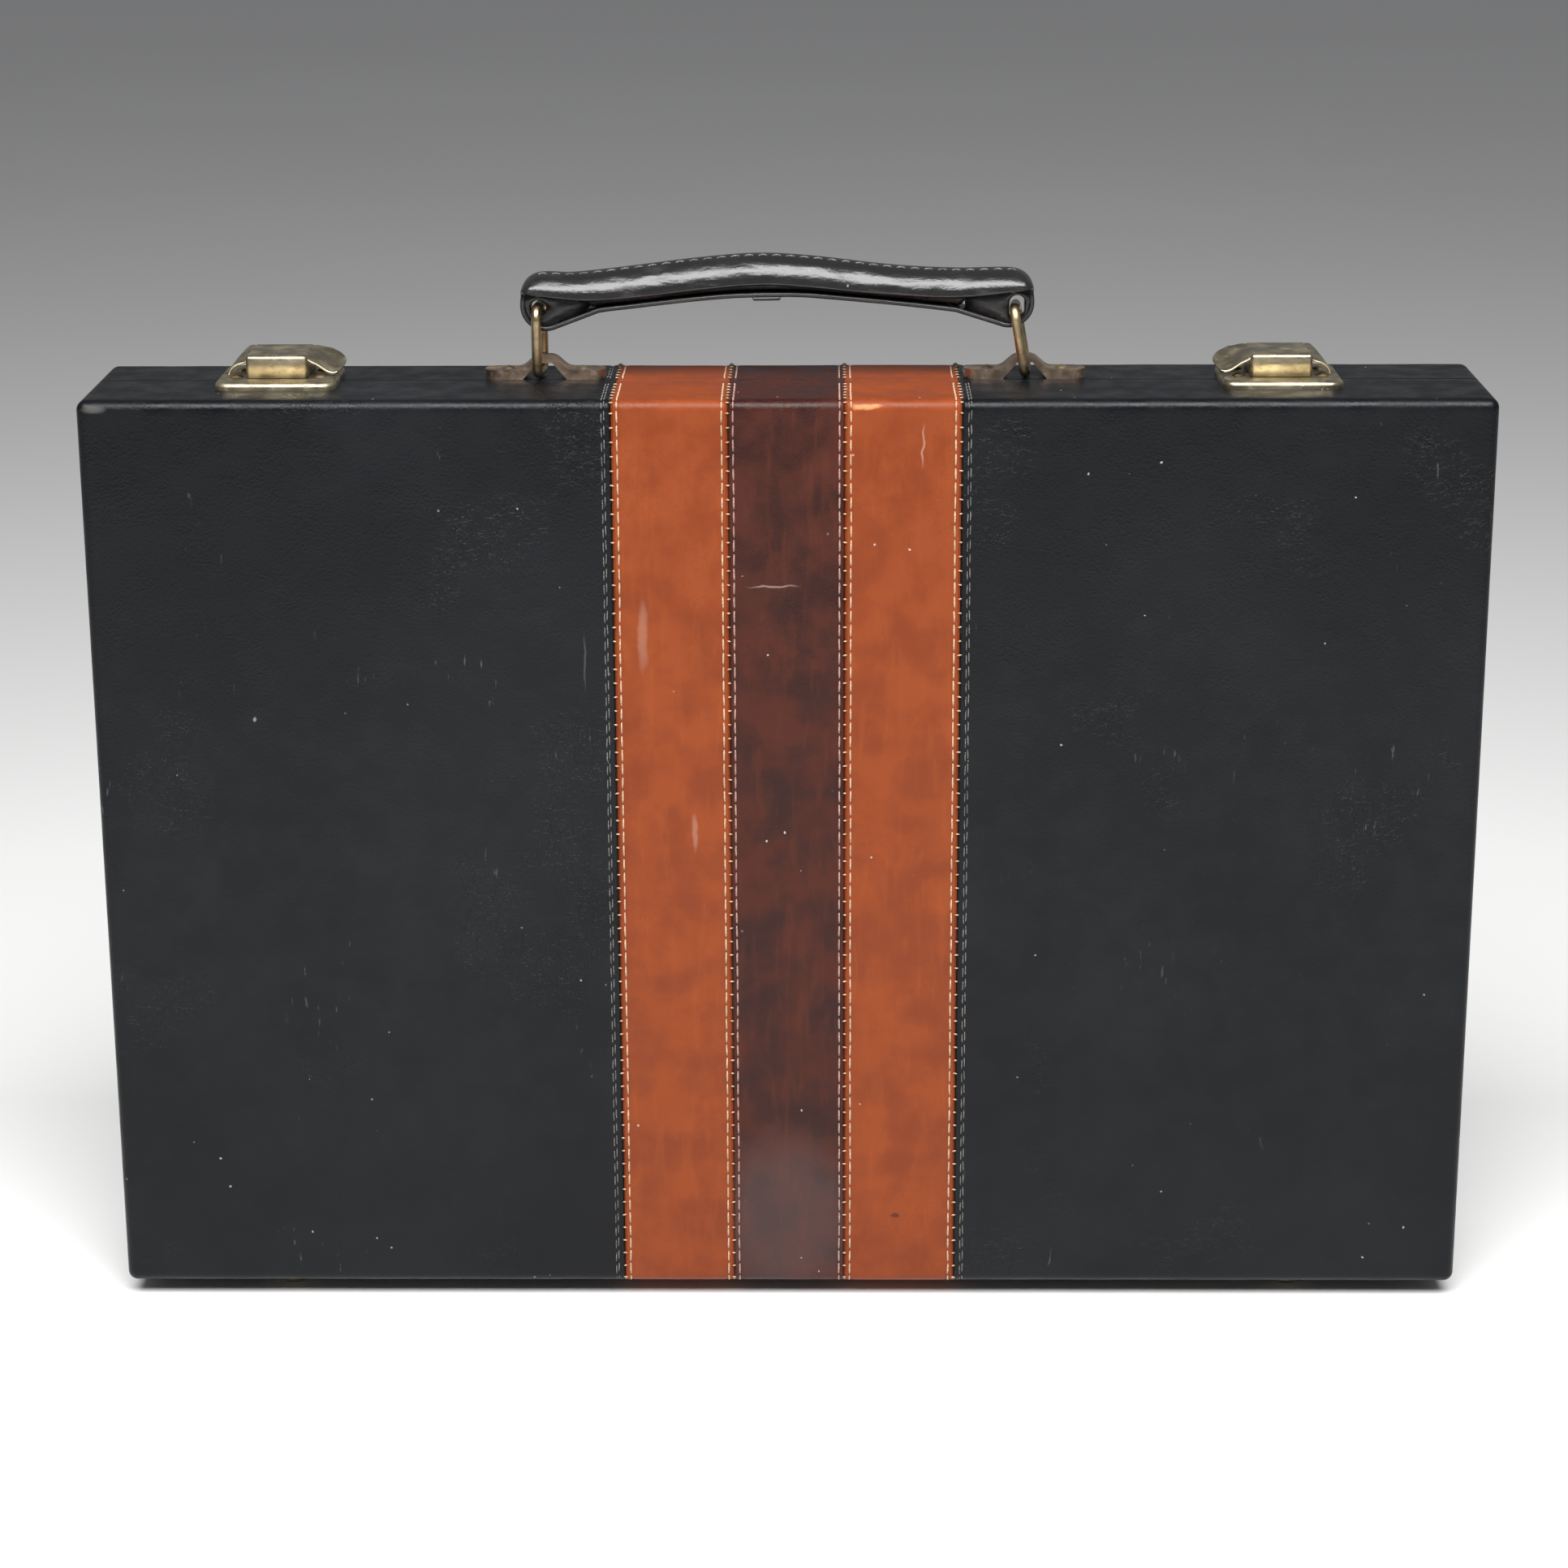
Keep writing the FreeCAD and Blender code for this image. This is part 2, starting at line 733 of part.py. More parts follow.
def plate_blank(body, label, near, far):
    """A thick plate between two distances from the parting; its far corners and edges are rounded."""
    blank = sketch_on(body, label + "_blank", "XY_Plane")
    low, high = (near, far) if far.value > near.value else (far, near)
    rectangle(blank, (-PLATE_HALF, PLATE_HALF), (low, high))
    pad(body, blank, d.plate_thickness)
    round_edges(
        body,
        label + "_corners",
        d.plate_corner,
        lambda edge: upright(edge, Z_AXIS) and abs(edge.Vertexes[0].Point.y - far.value) < 1e-6,
    )
    round_edges(
        body,
        label + "_edge",
        d.plate_edge,
        lambda edge: at_level(edge, Z_AXIS, d.plate_thickness.value)
        and not at_level(edge, Y_AXIS, near.value),
    )


def rivet_holes(body, label, back):
    holes = sketch_on(body, label + "_holes", "XY_Plane")
    for side in (-1, 1):
        circle(holes, (side * d.plate_rivet_across, back), d.rivet_radius + d.rivet_hole_gap)
    pocket(body, holes, 4 * d.plate_thickness, midplane=True)


def keeper_plate(side, x):
    label = f"latch_{side}_keeper"
    body = new_body(label, (x, PARTING, CASE_TOP))
    plate_blank(body, label, -d.parting_gap, -d.parting_gap - d.keeper_length)
    slot = sketch_on(body, label + "_slot", "XY_Plane")
    half = d.keeper_slot_width / 2
    rectangle(slot, (-half, half), (-d.keeper_slot_front, d.keeper_slot_length - d.keeper_slot_front))
    pocket(body, slot, 4 * d.plate_thickness, midplane=True)
    rivet_holes(body, label, -d.plate_rivet_back)


def latch_plate(side, x):
    """The plate on the base, with two ears that carry the hasp's pin."""
    label = f"latch_{side}_plate"
    body = new_body(label, (x, PARTING, CASE_TOP))
    plate_blank(body, label, d.parting_gap, d.parting_gap + d.latch_plate_length)
    ear_outer = HASP_HALF - d.sheet - d.ear_gap
    head = d.latch_pin_radius + d.ear_wall
    for name, begin in (("ear_a", -ear_outer), ("ear_b", ear_outer - d.ear_thickness)):
        ear = sketch_on(body, f"{label}_{name}", "YZ_Plane", begin)
        near, far = d.latch_pin_back - d.ear_length / 2, d.latch_pin_back + d.ear_length / 2
        closed_outline(
            ear,
            [
                (near, d.plate_thickness - d.overlap),
                (far, d.plate_thickness - d.overlap),
                (d.latch_pin_back + head, d.latch_pin_height),
                (d.latch_pin_back + head / 2, d.latch_pin_height + head),
                (d.latch_pin_back - head / 2, d.latch_pin_height + head),
                (d.latch_pin_back - head, d.latch_pin_height),
            ],
        )
        pad(body, ear, d.ear_thickness)
    bore = sketch_on(body, label + "_bore", "YZ_Plane")
    circle(bore, (d.latch_pin_back, d.latch_pin_height), d.latch_pin_radius + d.running_gap)
    pocket(body, bore, 2 * HASP_HALF, midplane=True)
    rivet_holes(body, label, d.plate_rivet_back)


def hasp(side, x, inner):
    """The formed sheet that swings up about its pin; inner is +1 when the case's middle is at +X."""
    label = f"latch_{side}_hasp"
    body = new_body(label, (x, PARTING, CASE_TOP))
    low = d.plate_thickness + d.hasp_lift
    heel_y, heel_z = d.latch_pin_back + d.hasp_heel, d.latch_pin_height - d.heel_drop
    channel = sketch_on(body, label + "_channel", "YZ_Plane")
    closed_outline(
        channel,
        [
            (-d.hasp_front, low),
            (d.latch_pin_back - d.heel_drop, low),
            (heel_y, heel_z),
            (d.hasp_back, d.hasp_height),
            (-d.hasp_front, d.hasp_height),
        ],
    )
    pad(body, channel, d.hasp_width, midplane=True)
    round_edges(
        body,
        label + "_nose",
        d.hasp_nose_radius,
        lambda edge: upright(edge, X_AXIS)
        and at_level(edge, Y_AXIS, -d.hasp_front.value)
        and at_level(edge, Z_AXIS, d.hasp_height.value),
    )
    inside = sketch_on(body, label + "_inside", "YZ_Plane")
    closed_outline(
        inside,
        [
            (-d.hasp_front + d.sheet, low - d.overlap),
            (heel_y + d.overlap, low - d.overlap),
            (heel_y + d.overlap, d.hasp_height - d.sheet),
            (-d.hasp_front + d.sheet, d.hasp_height - d.sheet),
        ],
    )
    pocket(body, inside, d.hasp_width - 2 * d.sheet, midplane=True)
    wings(body, label, inner)
    bore = sketch_on(body, label + "_bore", "YZ_Plane")
    circle(bore, (d.latch_pin_back, d.latch_pin_height), d.latch_pin_radius + d.running_gap)
    pocket(body, bore, 3 * d.hasp_width, midplane=True)


def loft(body, name, sections):
    feature = body.newObject("PartDesign::AdditiveLoft", name)
    feature.Profile = sections[0]
    feature.Sections = sections[1:]
    feature.Ruled = True
    body.Tip = feature
    return feature


def sheet_strip(body, name, back, spine, way):
    """A thin strip in an upright plane at a distance behind the parting.

    spine lists its upper edge from the channel outwards; the lower edge is one sheet below.
    """
    strip = sketch_on(body, name, "XZ_Plane", -back)
    upper = [(way * u, v) for u, v in spine]
    lower = [(way * u, v - d.sheet) for u, v in reversed(spine)]
    closed_outline(strip, upper + lower)
    return strip


def wings(body, label, inner):
    """The outer wing curls down to the plate; the inner wing dips and turns up into a finger tab."""
    root = HASP_HALF - d.sheet / 2
    top = d.hasp_height
    shoulder = d.hasp_height - d.wing_top_drop
    curl, dip, tab = d.wing_reach, d.wing_dip, d.tab_reach

    def spine(height, reach, drops):
        """Evenly spaced points outwards from the channel, each with its drop below height."""
        steps = len(drops)
        outward = [
            (HASP_HALF + reach * (step / steps), height - drop)
            for step, drop in enumerate(drops, start=1)
        ]
        return [(root, height)] + outward

    outer_front = spine(shoulder, curl, [dip * 0.15, dip, dip * 2])
    outer_back = spine(top - d.tab_drop, curl * 0.15, [dip * 0.15, dip * 0.4, dip * 0.8])
    inner_front = spine(shoulder, curl, [dip * 0.1, dip * 0.8, dip * 1.3])
    inner_middle = spine(top - d.tab_drop, tab, [dip * 0.3, dip * 1.1, dip * 1.1])
    inner_back = spine(top - d.tab_drop, tab * 0.65, [Size.of(0), Size.of(0), Size.of(0)])
    front, middle, back = -d.wing_front, d.tab_front, d.hasp_back - d.tab_drop
    strips = {
        "outer_wing": [(front, outer_front), (back, outer_back)],
        "inner_wing": [(front, inner_front), (middle, inner_middle)],
        "finger_tab": [(middle, inner_middle), (back, inner_back)],
    }
    for wing, sections in strips.items():
        way = -inner if wing == "outer_wing" else inner
        made = [
            sheet_strip(body, f"{label}_{wing}{number}", place, spine, way)
            for number, (place, spine) in enumerate(sections)
        ]
        loft(body, f"{label}_{wing}", made)


def latch_pin(side, x):
    pin = doc.addObject("Part::Cylinder", f"latch_{side}_pin")
    reach = HASP_HALF + d.latch_pin_overhang
    bind(pin, "Radius", d.latch_pin_radius)
    bind(pin, "Height", 2 * reach)
    pin.Placement = Placement(Vector(), Rotation(Y_AXIS, 90))
    move(pin, (x - reach, PARTING + d.latch_pin_back, CASE_TOP + d.latch_pin_height))
    keep(pin, f"latch_{side}_pin")


def latch_spring(side, x):
    """A torsion coil around the pin, between the ears."""
    coil = doc.addObject("Part::Helix", f"latch_{side}_coil")
    bind(coil, "Radius", d.spring_radius)
    bind(coil, "Pitch", d.spring_pitch)
    bind(coil, "Height", d.spring_pitch * d.spring_turns)
    wire = doc.addObject("Part::Circle", f"latch_{side}_wire")
    bind(wire, "Radius", d.spring_wire)
    wire.Placement = Placement(Vector(d.spring_radius.value, 0, 0), Rotation(X_AXIS, 90))
    bind(wire, "Placement.Base.x", d.spring_radius)
    doc.recompute()
    spring = doc.addObject("Part::Sweep", f"latch_{side}_spring")
    spring.Sections = [wire]
    spring.Spine = (coil, [f"Edge{n + 1}" for n in range(len(coil.Shape.Edges))])
    spring.Solid = True
    spring.Frenet = True
    spring.Placement = Placement(Vector(), Rotation(Y_AXIS, 90))
    half = d.spring_pitch * d.spring_turns / 2
    move(spring, (x - half, PARTING + d.latch_pin_back, CASE_TOP + d.latch_pin_height))
    keep(spring, f"latch_{side}_spring")


for side, (latch_x, inner) in LATCHES.items():
    keeper_plate(side, latch_x)
    latch_plate(side, latch_x)
    hasp(side, latch_x, inner)
    latch_pin(side, latch_x)
    latch_spring(side, latch_x)

for half, way in (("keeper", -1), ("latch", 1)):
    group(
        f"{half}_rivets",
        [
            rivet(
                f"{half}_rivet_{side}_{end}",
                (
                    latch_x + along * d.plate_rivet_across,
                    PARTING + way * d.plate_rivet_back,
                    CASE_TOP + d.plate_thickness,
                ),
                up=True,
            )
            for side, (latch_x, _) in LATCHES.items()
            for end, along in (("a", -1), ("b", 1))
        ],
    )


# ---------------------------------------------------------------- handle brackets and rings

BRACKETS = {"left": d.bracket_offset - d.bracket_across, "right": d.bracket_offset + d.bracket_across}


def bracket(side, x):
    """A saddle: two feet and a hump with a tunnel for the ring."""
    label = f"bracket_{side}"
    body = new_body(label, (x, BRACKET_Y, CASE_TOP))
    profile = sketch_on(body, label + "_profile", "XZ_Plane")
    end = d.bracket_length / 2
    ceiling = d.bracket_height - d.bracket_sheet
    right = [
        (d.tunnel_top, ceiling),
        (d.tunnel_base, Size.of(0)),
        (end, Size.of(0)),
        (end, d.bracket_foot),
        (d.hump_base, d.bracket_foot),
        (d.hump_top, d.bracket_height),
    ]
    left = [(-u, v) for u, v in reversed(right)]
    closed_outline(profile, right + left)
    pad(body, profile, d.bracket_depth, midplane=True)
    round_edges(
        body,
        label + "_ends",
        d.bracket_corner,
        lambda edge: upright(edge, Z_AXIS) and abs(abs(edge.Vertexes[0].Point.x) - end.value) < 1e-6,
    )
    round_edges(
        body,
        label + "_bends",
        d.bracket_bend,
        lambda edge: upright(edge, Y_AXIS)
        and abs(edge.Vertexes[0].Point.x) < d.hump_base.value + 0.1
        and edge.Vertexes[0].Point.z > d.bracket_foot.value - 0.1
        and abs(edge.Vertexes[0].Point.z - ceiling.value) > 0.1,
    )
    holes = sketch_on(body, label + "_holes", "XY_Plane")
    for way in (-1, 1):
        circle(
            holes,
            (way * d.bracket_rivet_across, Size.of(0)),
            d.rivet_radius + d.rivet_hole_gap,
        )
    pocket(body, holes, 4 * d.bracket_foot, midplane=True)


def ring(side, x, lean=None):
    """A rectangular wire loop that leans inwards about its lower bar, where its body stands."""
    label = f"ring_{side}"
    place = (x, BRACKET_Y, CASE_TOP + d.ring_rise)
    body = new_body(label, place, (0, 0, -1), d.ring_twist)
    half, tall, bend = d.ring_depth / 2, d.ring_height, d.ring_bend
    slope = bend * (1 - math.sqrt(0.5))
    path = sketch_on(body, label + "_path", "YZ_Plane")
    if lean:
        path.AttachmentOffset = Placement(Vector(), Rotation(-X_AXIS, lean.value))
        bind(path, "AttachmentOffset.Rotation.Angle", lean)
    closed_outline(
        path,
        [
            (-half + bend, Size.of(0)),
            (half - bend, Size.of(0)),
            (half, bend),
            (half, tall - bend),
            (half - bend, tall),
            (-half + bend, tall),
            (-half, tall - bend),
            (-half, bend),
        ],
        {
            1: ((half - slope, slope), bend),
            3: ((half - slope, tall - slope), bend),
            5: ((-half + slope, tall - slope), bend),
            7: ((-half + slope, slope), bend),
        },
    )
    section = sketch_on(body, label + "_section", "XZ_Plane")
    circle(section, (Size.of(0), Size.of(0)), d.ring_wire_radius)
    doc.recompute()
    pipe = body.newObject("PartDesign::AdditivePipe", label + "_pipe")
    pipe.Profile = section
    pipe.Spine = (path, [f"Edge{n + 1}" for n in range(len(path.Shape.Edges))])
    body.Tip = pipe


for side, bracket_x in BRACKETS.items():
    bracket(side, bracket_x)
ring("left", BRACKETS["left"] + d.left_ring_shift)
ring("right", BRACKETS["right"] + d.right_ring_shift, d.right_ring_lean)

group(
    "bracket_rivets",
    [
        rivet(
            f"bracket_rivet_{side}_{end}",
            (bracket_x + along * d.bracket_rivet_across, BRACKET_Y, CASE_TOP + d.bracket_foot),
            up=True,
        )
        for side, bracket_x in BRACKETS.items()
        for end, along in (("a", -1), ("b", 1))
    ],
)


# ---------------------------------------------------------------- handle


def handle_body(label):
    """A body whose origin is on the case's top under the handle's middle, tilted with the handle."""
    return new_body(label, (d.handle_x, BRACKET_Y, CASE_TOP), (0, -1, 0), d.handle_tilt)


def bowed_strip(sketch, span, low, high, thickness):
    """A strip bent into a flat arc: its lower edge is at low at both ends and at high in the middle."""
    radius = arc_radius(span, high - low)
    closed_outline(
        sketch,
        [(-span, low), (span, low), (span, low + thickness), (-span, low + thickness)],
        {
            0: ((Size.of(0), high), radius),
            2: ((Size.of(0), high + thickness), radius),
        },
    )


def handle_grip():
    """The padded upper part, with a sealed space for the core."""
    body = handle_body("handle_grip")
    side = sketch_on(body, "grip_side", "XZ_Plane")
    end, top_span = d.handle_half_length, d.grip_top_span
    drop = end - top_span
    slope = drop * (1 - math.sqrt(0.5))
    corner = d.grip_end_top - drop
    knee = (d.grip_top + d.grip_end_top) / 2
    bow = arc_radius(d.knee_span, d.grip_top - knee)
    hollow_x = (d.knee_span + d.shoulder_span) / 2
    reach = d.shoulder_span.value - hollow_x.value
    hollow_z = d.grip_end_top + bow - math.sqrt(bow.value**2 - reach**2)
    right = [
        (d.grip_low_span, d.grip_low),
        (d.grip_roof_span, d.grip_roof),
        (end, d.grip_roof),
        (end, corner),
        (top_span, d.grip_end_top),
        (d.shoulder_span, d.grip_end_top),
        (d.knee_span, knee),
    ]
    left = [(-u, v) for u, v in reversed(right)]
    low_bow = arc_radius(d.grip_low_span, d.grip_bottom - d.grip_low)
    closed_outline(
        side,
        right + left,
        {
            3: ((end - slope, d.grip_end_top - slope), drop),
            5: ((hollow_x, hollow_z), bow),
            6: ((Size.of(0), d.grip_top), bow),
            7: ((-hollow_x, hollow_z), bow),
            9: ((-end + slope, d.grip_end_top - slope), drop),
            13: ((Size.of(0), d.grip_bottom), low_bow),
        },
    )
    pad(body, side, d.handle_width, midplane=True)
    round_edges(
        body,
        "grip_rounding",
        d.grip_edge,
        lambda edge: at_level(edge, Y_AXIS, edge.Vertexes[0].Point.y)
        and edge.CenterOfMass.z > d.grip_roof.value + d.grip_edge.value,
    )
    space = sketch_on(body, "grip_space", "XZ_Plane")
    gap = d.core_gap
    bowed_strip(
        space,
        d.core_span + gap,
        d.core_end_z - gap,
        d.core_top - gap,
        d.core_thickness + 2 * gap,
    )
    pocket(body, space, d.core_width + 2 * gap, midplane=True)


def handle_core():
    body = handle_body("handle_core")
    strip = sketch_on(body, "core_strip", "XZ_Plane")
    bowed_strip(strip, d.core_span, d.core_end_z, d.core_top, d.core_thickness)
    pad(body, strip, d.core_width, midplane=True)


def handle_strap():
    """The strap under the grip; its ends are folded round the rings and fill the grip's ends."""
    body = handle_body("handle_strap")
    side = sketch_on(body, "strap_side", "XZ_Plane")
    thick, span, join = d.strap_thickness, d.strap_span, d.grip_roof - d.core_gap
    centre_x, centre_z, outer = d.loop_centre_x, d.loop_centre_z, d.loop_radius
    diagonal = math.sqrt(0.5)
    bottom_radius = arc_radius(span, d.strap_bottom - d.strap_low)
    right = [
        (span, d.strap_low),
        (centre_x - d.loop_join_x, centre_z - d.loop_join_z),
        (centre_x + outer, centre_z),
        (centre_x + outer, join),
        (d.grip_roof_span, join),
        (span, d.strap_low + thick),
    ]
    left = [(-u, v) for u, v in reversed(right)]
    closed_outline(
        side,
        right + left,
        {
            1: ((centre_x + outer * diagonal, centre_z - outer * diagonal), outer),
            5: ((Size.of(0), d.strap_bottom + thick), bottom_radius),
            9: ((-centre_x - outer * diagonal, centre_z - outer * diagonal), outer),
            11: ((Size.of(0), d.strap_bottom), bottom_radius),
        },
    )
    pad(body, side, d.strap_width, midplane=True)
    eyes = sketch_on(body, "strap_eyes", "XZ_Plane")
    circle(eyes, (-d.eye_x, d.left_eye_z), d.left_eye_radius)
    circle(eyes, (d.eye_x, d.right_eye_z), d.right_eye_radius)
    pocket(body, eyes, 2 * d.strap_width, midplane=True)


handle_grip()
handle_core()
handle_strap()


# ---------------------------------------------------------------- check and write


def check(document, parts):
    for item in document.Objects:
        if "Invalid" in item.State or "Error" in item.State:
            raise RuntimeError(f"{item.Label} failed: {item.State}")
    for part in parts:
        if part.Shape.isNull() or not part.Shape.isValid() or not part.Shape.Solids:
            raise RuntimeError(f"{part.Label} has no valid solid")


doc.recompute()
check(doc, nodes)
os.makedirs("parts", exist_ok=True)
for node in nodes:
    node.Shape.exportStep(os.path.join("parts", f"{node.Label}.step"))
    print(f"{node.Label}: {len(node.Shape.Solids)} solid(s), {node.Shape.Volume / 1000:.2f} cm3")
print(len(nodes), "nodes")
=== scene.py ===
"""Looks of the poker chip case: sewn covers, threads, padded handle, formed hasps, light and camera.

Sizes are in millimetres and become metres in mesh_piece. +X is to the right, the lid is towards -Y.
"""

import json
import math
import random

import bmesh
import bpy
from mathutils import Matrix, Vector, noise


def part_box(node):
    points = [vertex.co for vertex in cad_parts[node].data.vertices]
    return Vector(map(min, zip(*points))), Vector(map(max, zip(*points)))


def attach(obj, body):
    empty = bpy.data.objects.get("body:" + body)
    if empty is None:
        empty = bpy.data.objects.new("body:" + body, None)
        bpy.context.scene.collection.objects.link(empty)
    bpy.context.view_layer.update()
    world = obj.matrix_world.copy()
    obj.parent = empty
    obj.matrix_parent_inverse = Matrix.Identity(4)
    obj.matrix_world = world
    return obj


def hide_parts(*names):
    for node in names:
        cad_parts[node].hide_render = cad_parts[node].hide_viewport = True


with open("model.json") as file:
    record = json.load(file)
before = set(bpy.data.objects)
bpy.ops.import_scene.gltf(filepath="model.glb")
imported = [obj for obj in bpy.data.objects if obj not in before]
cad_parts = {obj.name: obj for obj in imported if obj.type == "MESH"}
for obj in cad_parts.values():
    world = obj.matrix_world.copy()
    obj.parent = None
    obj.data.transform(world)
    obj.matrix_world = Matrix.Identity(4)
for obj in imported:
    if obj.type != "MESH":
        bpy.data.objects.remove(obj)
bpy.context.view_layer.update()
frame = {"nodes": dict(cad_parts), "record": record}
MM = 0.001
scene = bpy.context.scene
QUARTER_TURN = math.pi / 2


def box_mm(node):
    """A CAD node's lowest and highest corner, in millimetres."""
    low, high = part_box(node)
    return low / MM, high / MM


# ---------------------------------------------------------------- materials


class Surface:
    """A material on the Principled shader, with short names for the nodes used here.

    Textures follow the piece's own coordinates, turned into millimetres.
    """

    def __init__(self, name, metallic=0.0, roughness=0.5, specular=0.5, coat=0.0, sheen=0.0):
        self.material = bpy.data.materials.new(name)
        self.material.use_nodes = True
        self.tree = self.material.node_tree
        self.shader = self.tree.nodes["Principled BSDF"]
        self.set("Metallic", metallic)
        self.set("Roughness", roughness)
        self.set("Specular IOR Level", specular)
        self.set("Coat Weight", coat)
        self.set("Sheen Weight", sheen)
        scaled = self.node("ShaderNodeVectorMath", operation="SCALE")
        self.feed(scaled.inputs[0], self.node("ShaderNodeTexCoord").outputs["Object"])
        scaled.inputs["Scale"].default_value = 1 / MM
        self.place = scaled.outputs[0]

    def node(self, kind, **settings):
        made = self.tree.nodes.new(kind)
        for key, value in settings.items():
            setattr(made, key, value)
        return made

    def feed(self, socket, value):
        if isinstance(value, bpy.types.NodeSocket):
            self.tree.links.new(value, socket)
        else:
            socket.default_value = value

    def set(self, name, value):
        self.feed(self.shader.inputs[name], value)

    def stretched(self, x=1.0, y=1.0, z=1.0, turn=(0.0, 0.0, 0.0)):
        """The place, scaled along each axis and turned by degrees, to draw streaks."""
        mapping = self.node("ShaderNodeMapping", vector_type="POINT")
        self.feed(mapping.inputs["Vector"], self.place)
        mapping.inputs["Rotation"].default_value = [math.radians(angle) for angle in turn]
        mapping.inputs["Scale"].default_value = (x, y, z)
        return mapping.outputs[0]

    def noise(self, size, detail=3.0, place=None, distortion=0.0):
        """Cloudy noise whose blobs are about size millimetres across, from 0 to 1."""
        made = self.node("ShaderNodeTexNoise")
        self.feed(made.inputs["Vector"], place or self.place)
        made.inputs["Scale"].default_value = 1 / size
        made.inputs["Detail"].default_value = detail
        made.inputs["Distortion"].default_value = distortion
        return made.outputs[0]

    def cells(self, size, feature="F1", place=None):
        """Distance within cells about size millimetres across."""
        made = self.node("ShaderNodeTexVoronoi", feature=feature)
        self.feed(made.inputs["Vector"], place or self.place)
        made.inputs["Scale"].default_value = 1 / size
        return made.outputs["Distance"]

    def warped(self, size, amount):
        """The place pushed about by noise, so that what is drawn on it wanders."""
        cloud = self.node("ShaderNodeTexNoise")
        self.feed(cloud.inputs["Vector"], self.place)
        cloud.inputs["Scale"].default_value = 1 / size
        pushed = self.node("ShaderNodeVectorMath", operation="MULTIPLY_ADD")
        self.feed(pushed.inputs[0], cloud.outputs["Color"])
        pushed.inputs[1].default_value = (amount, amount, amount)
        self.feed(pushed.inputs[2], self.place)
        return pushed.outputs[0]

    def band(self, value, low, high, out_low=0.0, out_high=1.0):
        """Maps value from low..high to out_low..out_high, smoothly and clamped."""
        made = self.node("ShaderNodeMapRange", interpolation_type="SMOOTHSTEP")
        for socket, given in zip(made.inputs, (value, low, high, out_low, out_high)):
            self.feed(socket, given)
        return made.outputs[0]

    def calc(self, operation, first, second=0.0):
        made = self.node("ShaderNodeMath", operation=operation)
        self.feed(made.inputs[0], first)
        self.feed(made.inputs[1], second)
        return made.outputs[0]

    def times(self, first, second):
        return self.calc("MULTIPLY", first, second)

    def plus(self, first, second):
        return self.calc("ADD", first, second)

    def blend(self, amount, first, second):
        """Colour between first and second; both are colours or sockets."""
        made = self.node("ShaderNodeMix", data_type="RGBA")
        self.feed(made.inputs["Factor"], amount)
        for socket, value in ((made.inputs[6], first), (made.inputs[7], second)):
            self.feed(socket, value if isinstance(value, bpy.types.NodeSocket) else (*value, 1.0))
        return made.outputs[2]

    def bump(self, height, distance, strength=1.0):
        """Surface relief of distance millimetres, on top of any relief set before."""
        made = self.node("ShaderNodeBump")
        made.inputs["Strength"].default_value = strength
        made.inputs["Distance"].default_value = distance * MM
        self.feed(made.inputs["Height"], height)
        before = self.shader.inputs["Normal"]
        if before.is_linked:
            self.feed(made.inputs["Normal"], before.links[0].from_socket)
        self.set("Normal", made.outputs[0])

    def spot(self, centre, reach, soft=0.5, wobble=0.0):
        """1 inside an ellipsoid at centre with half-sizes reach, fading to 0 at its edge."""
        away = self.node("ShaderNodeVectorMath", operation="SUBTRACT")
        self.feed(away.inputs[0], self.warped(6.0, wobble) if wobble else self.place)
        away.inputs[1].default_value = centre
        scaled = self.node("ShaderNodeVectorMath", operation="DIVIDE")
        self.feed(scaled.inputs[0], away.outputs[0])
        scaled.inputs[1].default_value = reach
        size = self.node("ShaderNodeVectorMath", operation="LENGTH")
        self.feed(size.inputs[0], scaled.outputs[0])
        return self.band(size.outputs["Value"], soft, 1.0, 1.0, 0.0)


def leather(surface, grain=0.35, crease=0.5, crease_patches=(0.5, 0.62)):
    """Fine cell grain, pores and patches of creases; returns the creases for colouring."""
    surface.bump(surface.cells(0.85, "SMOOTH_F1", surface.warped(3.0, 1.2)), grain * 0.16)
    surface.bump(surface.noise(0.28, 2.0), grain * 0.05)
    lines = surface.cells(3.6, "DISTANCE_TO_EDGE", surface.warped(4.0, 9.0))
    patches = surface.band(surface.noise(48.0, 2.0), *crease_patches)
    creases = surface.times(surface.band(lines, 0.0, 0.045, 1.0, 0.0), patches)
    surface.bump(creases, -crease * 0.22)
    surface.bump(surface.noise(16.0, 2.0), 0.22)
    return creases


def add_dust(surface, colour, amount, tint=(0.30, 0.29, 0.27)):
    """Small pale specks over a colour."""
    specks = surface.band(surface.cells(9.0, "F1", surface.warped(2.0, 1.0)), 0.035, 0.05, 1.0, 0.0)
    some = surface.band(surface.noise(11.0, 1.0), 0.5, 0.6)
    return surface.blend(surface.times(surface.times(specks, some), amount), colour, tint)


